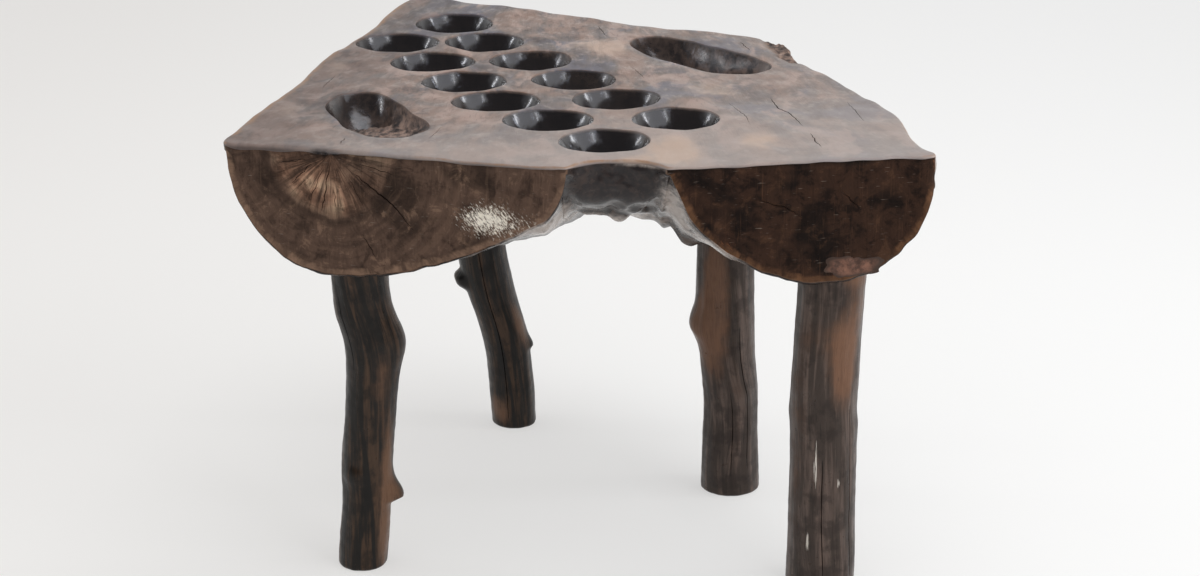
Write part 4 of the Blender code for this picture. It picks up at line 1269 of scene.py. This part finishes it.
def top_colour(tree, place, fields, hollow, wear, pale):
    """Streaks and clouds, then bleaching and painted sheen by place, bare patches, the painted shade of the
    left side, painted shade below the top on the lower arris and rubbed edges; in the hollows soot, or
    scraped wood where pale is high."""
    colour = layered(tree, linear("#6e625b"), *((fields[label], *rest) for label, *rest in TOP_LAYERS))
    across, along, height = (node(tree, "SeparateXYZ", {0: place}, axis) for axis in "XYZ")
    # Bleach and painted sheen: the top is painted lighter towards the front right, partly bleached wood and
    # partly the sheen of the bright backdrop.
    along = node(tree, "Math", {0: along, 1: 0.0}, operation="MINIMUM")
    bleach_and_sheen = node(tree, "Math", {0: along, 1: along}, operation="MULTIPLY")
    bleach_and_sheen = node(tree, "Math", {0: bleach_and_sheen, 1: BLEACH_AND_SHEEN_FORWARD, 2: across}, operation="MULTIPLY_ADD")
    patchy = node(tree, "Math", {0: pale, 1: fields["cloud"]}, operation="MULTIPLY")
    # Painted shade: the top is painted darker along its left side.
    from_left = node(
        tree, "VectorMath", {0: place, 1: (*heading(-LEFT_LEAN), 0)}, "Value", operation="DOT_PRODUCT")
    rub = node(tree, "Math", {0: wear, 1: fields["blot"]}, operation="MULTIPLY")
    colour = layered(
        # lighter towards the front right: bleach and painted sheen
        tree, colour, (bleach_and_sheen, -0.11, 0.79, 0.62, "#b2a6a0"), (patchy, 0.12, 0.40, 0.85, "#c2a997"),
        # painted shade along the left side
        (from_left, LEFT_SIDE + 0.13, LEFT_SIDE + 0.02, 0.50, "#594d48"),
        # painted shade on whatever lies more than 2 mm below the top, the lower arris and the walls of the
        # hollows; then rubbed edges
        (height, TOP - 0.0020, TOP - 0.0060, 0.65, "#453b36"), (rub, 0.18, 0.55, 0.9, "#a07d61"))
    soot = node(tree, "Mix", {0: fields["blot"], 6: linear("#0d0a09"), 7: linear("#2a211c")}, 2, **MIX)
    scraped = layered(tree, linear("#a98d7d"), (fields["blot"], 0.32, 0.68, 1, "#33271f"))
    soot = node(tree, "Mix", {0: pale, 6: soot, 7: scraped}, 2, **MIX)
    return node(tree, "Mix", {0: hollow, 6: colour, 7: soot}, 2, **MIX)


print("layers on the top:", len(TOP_LAYERS) + 5)

# %% [markdown]
# ## Patterns, gloss and relief of the top
# Noise stretched along the grain attribute draws the fibres, because plain object coordinates would not
# fan out with the two limbs. Real pores are too fine to show, so they are drawn 1.4 mm wide. The flat top
# is satin. The oiled pits are glossy, with gouge marks some 10 mm wide that break up their reflections.

# %% Top finish
TOP_PATTERNS = (
    ("stain", 0.090, 0.150, 5, 0.6), ("cloud", 0.040, 0.070, 6, 0.5), ("streak", 0.006, 0.090, 5, 0.3),
    ("pore", 0.0014, 0.022, 3, 0), ("blot", 0.011, 0.018, 6, 0.4))
GOUGE_MARK = 0.010


def oiled_top():
    """Dense dark hardwood, hand-planed, oiled and rubbed: satin, streaked, glossy black in the hollows."""
    material, tree, shader = finish(
        "oiled_dark_hardwood_hand_rubbed", 1.48, Coat_Roughness=0.16, Specular_Tint=linear("#e4ebff"))
    grain = node(tree, "Attribute", out="Vector", attribute_name="grain")
    hollow, wear, pale = (
        node(tree, "Attribute", out="Fac", attribute_name=label) for label in ("hollow", "wear", "pale"))
    place = node(tree, "TexCoord", out="Object")
    fields = {}
    for label, wide, long, detail, bent in TOP_PATTERNS:
        scale = (1 / wide, 1 / long, 1 / wide)
        fibres = node(tree, "VectorMath", {0: grain, 1: scale}, operation="MULTIPLY")
        fields[label] = node(tree, "TexNoise", {
            "Vector": fibres, "Scale": 1, "Detail": detail, "Roughness": 0.6, "Distortion": bent})
    satin, polish = (node(tree, "MapRange", {
        "Value": fields["blot"], "From Min": 0.3, "From Max": 0.7, "To Min": least, "To Max": most})
        for least, most in ((0.33, 0.46), (0.12, 0.24)))
    polish = node(tree, "MapRange", {"Value": pale, "To Min": polish, "To Max": 0.62})
    gloss = node(tree, "MapRange", {"Value": hollow, "To Min": satin, "To Max": polish})
    oily = node(tree, "Math", {0: pale, 1: -2.0, 2: hollow}, operation="MULTIPLY_ADD", use_clamp=True)
    relief = node(tree, "Math", {0: fields["streak"], 1: fields["pore"]}, operation="SUBTRACT")
    relief = node(tree, "Math", {0: relief, 1: fields["blot"]}, operation="ADD")
    rough = node(tree, "MapRange", {"Value": hollow, "To Min": 0.18, "To Max": 0.08})
    bump = node(tree, "Bump", {"Height": relief, "Strength": rough, "Distance": 0.0010})
    marks = node(tree, "TexNoise", {
        "Vector": place, "Scale": 1 / GOUGE_MARK, "Detail": 1, "Distortion": 0.3})
    marked_by = node(tree, "Math", {0: hollow, 1: 0.6}, operation="MULTIPLY")
    bump = node(tree, "Bump", {"Height": marks, "Strength": marked_by, "Distance": 0.0014, "Normal": bump})
    colour = top_colour(tree, place, fields, hollow, wear, pale)
    dress(tree, shader, Base_Color=colour, Roughness=gloss, Coat_Weight=oily, Normal=bump)
    return material


top_finish = oiled_top()
print("made", top_finish.name)

# %% [markdown]
# ## Sawn end grain
# An end shows the tree's year rings round the pith, rays running out from it, a fan of heartwood and a
# lighter rim of sapwood under the bark. Polar coordinates about the pith give all of these: noise
# stretched round the angle for the rings, and noise stretched along the radius for the rays. The saw has
# left fine upright lines, drawn 2 mm wide so that they show, and later knocks have left short scratches.
# The left end also has a dried, flaked patch, nearly white.

# %% Patterns of an end
END_PATTERNS = (
    ("year", "spokes", (1.1, 1 / 0.0075, 1), {"Detail": 4, "Roughness": 0.6}),
    ("broad", "spokes", (5, 1 / 0.080, 1), {"Detail": 4, "Roughness": 0.6}),
    ("ray", "spokes", (13, 1 / 0.055, 1), {"Detail": 5, "Roughness": 0.66, "Distortion": 0.5}),
    ("saw", "local", (1 / 0.0022, 1, 1 / 0.050), {"Detail": 3, "Roughness": 0.6}),
    ("scratch", "local", (1 / 0.014, 1, 1 / 0.0012), {"Detail": 2}),
)
LIT_WAY = (-0.57, 0, -0.82)
WOBBLE, WOBBLE_SIZE = 0.013, 0.030


def end_patterns(tree, pith, turn):
    """Distance and angle about the pith, swayed a little, and noise fields drawn on them and on the face."""
    place = node(tree, "TexCoord", out="Object")
    local = node(tree, "Mapping", {
        "Vector": place, "Location": pith, "Rotation": (0, 0, math.radians(turn))}, vector_type="TEXTURE")
    wobble = node(tree, "TexNoise", {"Vector": place, "Scale": 1 / WOBBLE_SIZE, "Detail": 4}, "Color")
    wobble = node(tree, "VectorMath", {0: wobble, 1: (0.5, 0.5, 0.5)}, operation="SUBTRACT")
    wobble = node(tree, "VectorMath", {0: wobble, "Scale": WOBBLE}, operation="SCALE")
    swaying = node(tree, "VectorMath", {0: local, 1: wobble}, operation="ADD")
    swaying = node(tree, "VectorMath", {0: swaying, 1: (1, 0, 1)}, operation="MULTIPLY")
    radius = node(tree, "VectorMath", {0: swaying}, "Value", operation="LENGTH")
    outward = node(tree, "VectorMath", {0: swaying}, operation="NORMALIZE")
    sunny = node(tree, "VectorMath", {0: outward, 1: LIT_WAY}, "Value", operation="DOT_PRODUCT")
    over, up = (node(tree, "SeparateXYZ", {0: local}, axis) for axis in "XZ")
    angle = node(tree, "Math", {0: up, 1: over}, operation="ARCTAN2")
    drawn_on = {"local": local, "spokes": node(tree, "CombineXYZ", {0: angle, 1: radius})}
    fields = {"radius": radius, "sunny": sunny, "height": node(tree, "SeparateXYZ", {0: place}, "Z")}
    for label, base, scale, settings in END_PATTERNS:
        scaled = node(tree, "VectorMath", {0: drawn_on[base], 1: scale}, operation="MULTIPLY")
        fields[label] = node(tree, "TexNoise", {"Vector": scaled, "Scale": 1, **settings})
    fields["smudge"] = node(tree, "TexNoise", {
        "Vector": place, "Scale": 1 / 0.055, "Detail": 3, "Roughness": 0.5})
    fields["blots"] = node(tree, "TexNoise", {
        "Vector": place, "Scale": 1 / 0.020, "Detail": 7, "Roughness": 0.68, "Distortion": 0.4})
    slant = node(tree, "Mapping", {
        "Vector": local, "Rotation": (0, math.radians(52), 0),
        "Scale": (0.0060, 1, 0.0019)}, vector_type="TEXTURE")
    fields["flecks"] = node(tree, "TexNoise", {"Vector": slant, "Scale": 1, "Detail": 5, "Roughness": 0.75})
    return fields


print("patterns on an end:", len(END_PATTERNS) + 3)

# %% [markdown]
# ## Three ends, three finishes
# All ends share one recipe with their own tones. The left end is dried and checked, with a light fan of
# heartwood below the pith. The right end is smoked nearly black and blotchy. The stem end lies between
# them.

# %% End finishes
def end_colour(tree, fields, heart, tones, mark, blotchy, ringed):
    """Heartwood fan within its radius, then smudges, rays, saw lines, rings and scratches, the sapwood rim,
    and marks where pale is high; black inside the checks."""
    core, warm, outer, dark, rim = tones
    wear, pale, split = (
        node(tree, "Attribute", out="Fac", attribute_name=label) for label in ("wear", "pale", "hollow"))
    sunny = node(tree, "MapRange", {
        "Value": fields["sunny"], "From Min": 0.1, "From Max": 0.9, "To Min": 0.22}, **SOFT)
    broad = node(tree, "MapRange", {
        "Value": fields["broad"], "From Min": 0.62, "From Max": 0.40, "To Min": 0.35}, **SOFT)
    within = node(tree, "MapRange", {
        "Value": fields["radius"], "From Min": heart * 1.08, "From Max": heart * 0.74}, **SOFT)
    fan = layered(tree, linear(core), (fields["smudge"], 0.42, 0.58, 1, warm))
    lit = node(tree, "Math", {0: sunny, 1: broad}, operation="MULTIPLY")
    lit = node(tree, "Math", {0: lit, 1: within}, operation="MULTIPLY")
    colour = node(tree, "Mix", {0: lit, 6: linear(outer), 7: fan}, 2, **MIX)
    off_heart = node(tree, "Math", {0: fields["radius"], 1: heart * 1.08}, operation="SUBTRACT")
    off_heart = node(tree, "Math", {0: off_heart}, operation="ABSOLUTE")
    raying = node(tree, "MapRange", {"Value": within, "To Min": 0.22, "To Max": 0.66})
    sap = node(tree, "Math", {0: fields["ray"], 1: fields["blots"]}, operation="ADD")
    sap = node(tree, "Math", {0: wear, 1: sap}, operation="MULTIPLY")
    flaked = node(tree, "Math", {0: pale, 1: 0.36, 2: fields["flecks"]}, operation="MULTIPLY_ADD")
    colour = layered(
        tree, colour, (fields["smudge"], 0.48, 0.62, blotchy, dark),
        (fields["blots"], 0.50, 0.64, 0.9 * blotchy, dark),
        (fields["blots"], 0.46, 0.35, 1.5 * (1 - blotchy), rim), (fields["ray"], 0.48, 0.62, raying, dark),
        (fields["saw"], 0.58, 0.74, 0.25, rim), (fields["saw"], 0.44, 0.30, 0.25, dark),
        (fields["year"], 0.50, 0.66, ringed, dark), (fields["year"], 0.46, 0.34, 0.5 * ringed, rim),
        (off_heart, 0.0075, 0.0010, 0.42, dark), (fields["scratch"], 0.66, 0.76, 0.6, "#8d8075"),
        # darker towards the top edge, from 9 mm to 2 mm below it
        (fields["height"], TOP - 0.009, TOP - 0.002, 0.65, dark), (sap, 0.76, 1.20, 0.9, rim),
        (flaked, 0.74, 0.86, 0.95, mark))
    return node(tree, "Mix", {0: split, 6: colour, 7: linear("#0b0706")}, 2, **MIX)


def end_grain(name, pith, turn, heart, tones, mark, blotchy, ringed):
    """Saw-cut end grain, dry and nearly matt, with rays and saw lines that can be felt."""
    material, tree, shader = finish(name, 1.46, Specular_IOR_Level=0.12)
    fields = end_patterns(tree, pith, turn)
    colour = end_colour(tree, fields, heart, tones, mark, blotchy, ringed)
    rough = node(tree, "MapRange", {
        "Value": fields["blots"], "From Min": 0.3, "From Max": 0.7, "To Min": 0.45, "To Max": 0.65})
    relief = node(tree, "Math", {0: fields["ray"], 1: fields["saw"]}, operation="SUBTRACT")
    relief = node(tree, "Math", {0: relief, 1: fields["blots"]}, operation="SUBTRACT")
    bump = node(tree, "Bump", {"Height": relief, "Strength": 0.45, "Distance": 0.0016})
    dress(tree, shader, Base_Color=colour, Roughness=rough, Normal=bump)
    return material


STEM_TURN = -32.1
left_pith = (*(FRONT_LEFT + 0.1206 * heading(-LEFT_TURN)), TOP - 0.0054)
right_pith = (*(FORK_RIGHT + 0.150 * heading(RIGHT_TURN)), TOP + 0.100)
stem_pith = (*(STEM_RIGHT * 0.5 + STEM_LEFT * 0.5), TOP - 0.008)
left_finish = end_grain("sawn_end_grain_dried_and_checked", left_pith, -LEFT_TURN, 0.071,
                        ("#d2b597", "#c4957a", "#5b473c", "#251b16", "#8c705d"), "#f2eadc", 0.65, 0.28)
right_finish = end_grain("sawn_end_grain_smoked_dark", right_pith, RIGHT_TURN, 0.060,
                         ("#3e2a1d", "#482a1b", "#37241a", "#0f0806", "#6a4a34"), "#74472a", 0.85, 0.10)
stem_finish = end_grain("sawn_end_grain_of_the_stem", stem_pith, STEM_TURN, 0.085,
                        ("#6a5140", "#5d4232", "#443429", "#1d1511", "#66493a"), "#5f3d28", 0.7, 0.35)
print("made", left_finish.name, right_finish.name, stem_finish.name)

# %% [markdown]
# ## The back of the log
# Under the flat top the tree keeps its own skin, peeled of bark and blackened by smoke and hands. It is
# satin and dark, with ridges along the grain, and a few rubbed places show brown. Near the fork it is
# greyer, and the flanks and folds of the crotch are painted a silvery grey, partly wood rubbed bare and
# partly a painted reflection of the bright floor.

# %% Log finish
def peeled_log():
    """Peeled log surface, smoked and rubbed: black-brown, ridged along the fibres, satin."""
    material, tree, shader = finish("peeled_log_smoked_dark", 1.55, Specular_IOR_Level=0.2)
    grain = node(tree, "Attribute", out="Vector", attribute_name="grain")
    pale, wear = (node(tree, "Attribute", out="Fac", attribute_name=label) for label in ("pale", "wear"))
    place = node(tree, "TexCoord", out="Object")
    fibres = node(tree, "VectorMath", {0: grain, 1: (1 / 0.007, 1 / 0.110, 1 / 0.007)}, operation="MULTIPLY")
    ridge = node(tree, "TexNoise", {
        "Vector": fibres, "Scale": 1, "Detail": 5, "Roughness": 0.6, "Distortion": 0.4})
    blots = node(tree, "TexNoise", {"Vector": place, "Scale": 1 / 0.030, "Detail": 5, "Roughness": 0.6})
    # The log is painted greyer within about 0.14 m of the fork.
    to_fork = node(tree, "VectorMath", {0: place, 1: (*FORK_MOUTH, TOP)}, "Value", operation="DISTANCE")
    rub = node(tree, "Math", {0: wear, 1: blots}, operation="MULTIPLY")
    # Silvery grey where pale is high: partly bare wood, partly a painted reflection.
    bare_and_sheen = node(tree, "Math", {0: pale, 1: ridge}, operation="MULTIPLY")
    colour = layered(
        tree, linear("#1d1613"), (ridge, 0.40, 0.70, 1, "#43342c"), (blots, 0.52, 0.70, 0.6, "#5a4334"),
        (to_fork, 0.14, 0.06, 0.55, "#322f31"), (rub, 0.18, 0.40, 0.8, "#6b4f3c"),
        (bare_and_sheen, 0.08, 0.46, 0.9, "#b5a9a1"))
    satin = node(tree, "MapRange", {
        "Value": blots, "From Min": 0.3, "From Max": 0.7, "To Min": 0.16, "To Max": 0.32})
    relief = node(tree, "Math", {0: ridge, 1: blots}, operation="ADD")
    bump = node(tree, "Bump", {"Height": relief, "Strength": 0.3, "Distance": 0.0015})
    dress(tree, shader, Base_Color=colour, Roughness=satin, Normal=bump)
    return material


log_finish = peeled_log()
slab_finishes = [top_finish, left_finish, right_finish, stem_finish, log_finish]
slab = make("slab_carved", *slab_mesh, slab_finishes, slab_attributes)
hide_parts("slab")

# %% [markdown]
# ## Rubbed branch wood
# The legs are near-black from smoke and handling, with brown wood showing where they were rubbed or
# scraped, and a few white scuffs. The pattern is drawn in the straightened coordinates of each branch, so
# that streaks follow its bends. Single fibres are too fine to show, so they are drawn 1.8 mm wide. The
# two legs on the right get a lighter, browner copy of the finish: partly browner wood, partly a painted
# sheen of the front right light. One broad brown place on the left side of the front right leg is a
# painted sheen too.

# %% Leg finish
def branch_wood(name, dark, streaked, brown_tone, sooty):
    """Peeled branch, smoked and polished by hands: black-brown with long brown streaks and open checks."""
    material, tree, shader = finish(name, 1.48, Specular_IOR_Level=0.28)
    grain = node(tree, "Attribute", out="Vector", attribute_name="grain")
    brown_and_sheen, opened, scuffed = (
        node(tree, "Attribute", out="Fac", attribute_name=label) for label in ("brown_and_sheen", "opened", "scuffed"))
    fibres = node(tree, "VectorMath", {0: grain, 1: (1 / 0.009, 1 / 0.009, 1 / 0.120)}, operation="MULTIPLY")
    streak = node(tree, "TexNoise", {
        "Vector": fibres, "Scale": 1, "Detail": 6, "Roughness": 0.62, "Distortion": 0.5})
    fine = node(tree, "VectorMath", {0: grain, 1: (1 / 0.0018, 1 / 0.0018, 1 / 0.030)}, operation="MULTIPLY")
    hairs = node(tree, "TexNoise", {"Vector": fine, "Scale": 1, "Detail": 3, "Roughness": 0.6})
    blots = node(tree, "TexNoise", {"Vector": grain, "Scale": 1 / 0.022, "Detail": 5, "Roughness": 0.62})
    bare_and_sheen = node(tree, "Math", {0: streak, 1: blots}, operation="ADD")
    bare_and_sheen = node(tree, "Math", {0: bare_and_sheen, 1: brown_and_sheen}, operation="MULTIPLY")
    tan = node(tree, "Mix", {0: hairs, 6: linear("#4f3729"), 7: linear(brown_tone)}, 2, **MIX)
    colour = layered(tree, linear(dark), (streak, 0.44, 0.66, 1, streaked), (blots, 0.46, 0.62, 0.6, sooty),
                     (bare_and_sheen, 0.30, 0.90, 1, tan))
    dull = node(tree, "MapRange", {
        "Value": hairs, "From Min": 0.56, "From Max": 0.70, "To Max": 0.5}, **SOFT)
    colour = node(tree, "Mix", {0: dull, 6: colour, 7: linear("#15100d")}, 2, **MIX)
    colour = node(tree, "Mix", {0: opened, 6: colour, 7: linear("#080605")}, 2, **MIX)
    scuffed = node(tree, "Math", {0: scuffed, 1: hairs}, operation="MULTIPLY")
    colour = layered(tree, colour, (scuffed, 0.32, 0.42, 0.9, "#d8d0c6"))
    satin = node(tree, "MapRange", {
        "Value": blots, "From Min": 0.3, "From Max": 0.7, "To Min": 0.26, "To Max": 0.44})
    relief = node(tree, "Math", {0: streak, 1: dull}, operation="SUBTRACT")
    relief = node(tree, "Math", {0: relief, 1: blots}, operation="ADD")
    bump = node(tree, "Bump", {"Height": relief, "Strength": 0.3, "Distance": 0.0014})
    dress(tree, shader, Base_Color=colour, Roughness=satin, Normal=bump)
    return material


black_branch = branch_wood("peeled_branch_smoked_black", "#15100c", "#4a3627", "#84624a", "#0c0806")
# Painted sheen: this lighter copy for the right legs is partly browner wood and partly the sheen of the
# front right light painted in.
brown_branch_with_painted_sheen = branch_wood("peeled_branch_brown_with_painted_sheen", "#3c312b", "#62524a", "#8a644c", "#281f1b")
for name, (points, triangles, values, finishes) in leg_meshes.items():
    attributes = {
        "grain": values[:, :3], "brown_and_sheen": values[:, 3], "opened": values[:, 4], "scuffed": values[:, 5]}
    leg_finish = brown_branch_with_painted_sheen if name.endswith("right") else black_branch
    leg = make(name.replace("leg", "branch_leg"), points, triangles, finishes, [leg_finish], attributes)
    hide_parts(name)

# %% [markdown]
# ## Filler and hidden wedges
# Filler is wood dust in glue: dull, reddish and blotchy, and rubbed thin at its rim, where the dark wood
# shows through. Its dust is drawn as grains 2 mm wide, coarser than real dust, so that it shows. The
# wedges that spread the tenons are out of sight inside the joints, so they keep their CAD shape and get a
# plain split-wood finish with streaks down their length.

# %% Filler and wedge finishes
def wood_filler():
    """Wood dust in glue, thumbed in and dried: matt, reddish brown and grainy, darker where it is thin."""
    material, tree, shader = finish("reddish_wood_filler_thumbed_in", 1.45, Roughness=0.62)
    place = node(tree, "TexCoord", out="Object")
    blots = node(tree, "TexNoise", {"Vector": place, "Scale": 1 / 0.012, "Detail": 6, "Roughness": 0.72})
    grains = node(tree, "TexNoise", {"Vector": place, "Scale": 1 / 0.002, "Detail": 2})
    thin = node(tree, "Attribute", out="Fac", attribute_name="thin")
    worn_off = node(tree, "Math", {0: thin, 1: blots}, operation="ADD")
    colour = layered(
        tree, linear("#482f24"), (blots, 0.35, 0.65, 1, "#845b49"), (worn_off, 0.80, 1.30, 0.95, "#37251b"))
    relief = node(tree, "Math", {0: blots, 1: grains}, operation="ADD")
    bump = node(tree, "Bump", {"Height": relief, "Strength": 0.5, "Distance": 0.001})
    dress(tree, shader, Base_Color=colour, Normal=bump)
    return material


def split_wedge():
    """Split straight-grained hardwood, unfinished: pale brown with streaks 2 mm wide down its length."""
    material, tree, shader = finish("split_hardwood_wedge", 1.46, Roughness=0.60)
    place = node(tree, "TexCoord", out="Object")
    fibres = node(tree, "Mapping", {"Vector": place, "Scale": (1 / 0.002, 1 / 0.002, 1 / 0.030)})
    streak = node(tree, "TexNoise", {"Vector": fibres, "Scale": 1, "Detail": 4})
    colour = node(tree, "Mix", {0: streak, 6: linear("#8a6a49"), 7: linear("#b8956c")}, 2, **MIX)
    bump = node(tree, "Bump", {"Height": streak, "Strength": 0.3, "Distance": 0.0005})
    dress(tree, shader, Base_Color=colour, Normal=bump)
    return material


points, triangles, thin, finishes = filler_mesh
filler = make("filler_over_front_right_leg", points, triangles, finishes, [wood_filler()], {"thin": thin})
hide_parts("joint_filler_front_right")
wedge_finish = split_wedge()
for name in [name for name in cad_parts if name.startswith("tenon_wedge")]:
    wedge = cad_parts[name]
    wedge.data.materials.clear()
    wedge.data.materials.append(wedge_finish)
    print("finish for", name)

# %% [markdown]
# ## A paper floor
# The photograph has a seamless white studio. A large pale floor takes the soft shadows. Seen straight on
# or in a reflection it is lifted towards white with Light Path, so the background is white without more
# light on the wood.

# %% Floor
SEEN = ("Is Camera Ray", "Is Glossy Ray", "Is Transmission Ray")
FLOOR_HALF = 9.0
FLOOR_LIFT = 0.56
DIM_LEFT, WHITE_RIGHT = -1.2, 0.9


def looks_at(tree, kinds):
    """One for rays of these kinds, such as a camera's or a mirror's, and nought for all other light."""
    path = tree.nodes.new("ShaderNodeLightPath")
    any_of = path.outputs[kinds[0]]
    for kind in kinds[1:]:
        any_of = node(tree, "Math", {0: any_of, 1: path.outputs[kind]}, operation="MAXIMUM")
    return any_of


floor_mesh = bpy.data.meshes.new("studio_floor")
corners = [(x * FLOOR_HALF, y * FLOOR_HALF, 0) for x, y in ((-1, -1), (1, -1), (1, 1), (-1, 1))]
floor_mesh.from_pydata(corners, [], [(0, 1, 2, 3)])
floor = bpy.data.objects.new("studio_floor", floor_mesh)
bpy.context.scene.collection.objects.link(floor)
paper = bpy.data.materials.new("white_paper_sweep")
paper.use_nodes = True
tree = paper.node_tree
tree.nodes.clear()
matt = node(tree, "BsdfDiffuse", {"Color": linear("#f8f8f7")})
# The glow is painted darker towards the left and white towards the right: a painted falloff of the light on
# the floor.
place = node(tree, "TexCoord", out="Object")
across = node(tree, "SeparateXYZ", {0: place}, "X")
tone = layered(tree, linear("#f0edea"), (across, DIM_LEFT, WHITE_RIGHT, 1, "#ffffff"))
glow = node(tree, "Emission", {"Color": tone, "Strength": 1.0})
lift = node(tree, "Math", {0: looks_at(tree, SEEN), 1: FLOOR_LIFT}, operation="MULTIPLY")
mixed = node(tree, "MixShader", {0: lift, 1: matt, 2: glow})
tree.links.new(mixed, tree.nodes.new("ShaderNodeOutputMaterial").inputs["Surface"])
floor_mesh.materials.append(paper)
print("floor is", 2 * FLOOR_HALF, "m wide")

# %% [markdown]
# ## The room
# The world gives an even light from all sides. The camera sees it white. A reflection sees a darker
# ceiling and a darker room behind the camera, as in a real studio, which keeps the polished pits black.

# %% World
AMBIENT = 0.58

world = bpy.data.worlds.new("white_studio")
bpy.context.scene.world = world
world.use_nodes = True
sky = world.node_tree
sky.nodes.clear()
way = node(sky, "TexCoord", out="Generated")
onward, upward = (node(sky, "SeparateXYZ", {0: way}, axis) for axis in "YZ")
ceiling = node(sky, "MapRange", {"Value": upward, "From Min": 0.12, "From Max": 0.50}, **SOFT)
room = node(sky, "MapRange", {"Value": onward, "From Min": 0.3, "From Max": -0.4}, **SOFT)
dim = node(sky, "Math", {0: ceiling, 1: room}, operation="MAXIMUM")
straight_on = looks_at(sky, SEEN[:1])
dim = node(sky, "Math", {0: dim, 1: straight_on}, operation="SUBTRACT", use_clamp=True)
backdrop = node(sky, "Mix", {0: dim, 6: linear("#f8f8f7"), 7: linear("#5a5c60")}, 2, **MIX)
shown = node(sky, "Background", {"Color": backdrop, "Strength": 1.0})
ambient = node(sky, "Background", {"Color": linear("#ffffff"), "Strength": AMBIENT})
blend = node(sky, "MixShader", {0: looks_at(sky, SEEN), 1: ambient, 2: shown})
sky.links.new(blend, sky.nodes.new("ShaderNodeOutputWorld").inputs["Surface"])
print("world:", world.name)

# %% [markdown]
# ## Five soft lamps
# A softbox overhead and a large window at the front right light the table at a plain level. Three narrow
# strips, left, right and front right, draw the bright lines in the polished pits. Each lamp has its
# place, the point it faces, its width and height in metres and its power in watts.

# %% Lamps
LAMPS = (
    ("overhead_softbox", (0.2, 0.6, 2.5), (0.0, -0.1, 0.45), (1.5, 1.5), 15),
    ("left_strip", (-2.0, 0.30, 1.15), (0.0, -0.1, 0.45), (0.10, 0.50), 2.4),
    ("right_strip", (2.2, -0.05, 1.2), (0.0, -0.1, 0.45), (0.20, 0.60), 4),
    ("front_right_strip", (1.15, -1.95, 1.75), (0.0, -0.1, 0.45), (0.06, 0.80), 2.2),
    ("front_right_window", (2.0, -1.3, 1.7), (0.0, -0.2, 0.40), (3.2, 1.8), 24),
)
for name, where, at, size, power in LAMPS:
    lamp = bpy.data.lights.new(name, "AREA")
    lamp.shape = "RECTANGLE"
    lamp.size, lamp.size_y = size
    lamp.energy = power
    stand = bpy.data.objects.new(name, lamp)
    stand.location = where
    toward = np.array(at) - where
    level = math.hypot(toward[0], toward[1])
    stand.rotation_euler = (math.atan2(level, -toward[2]), 0, math.atan2(-toward[0], toward[1]))
    bpy.context.scene.collection.objects.link(stand)
bpy.context.scene.view_settings.view_transform = "Standard"
print("lamps:", len(LAMPS))
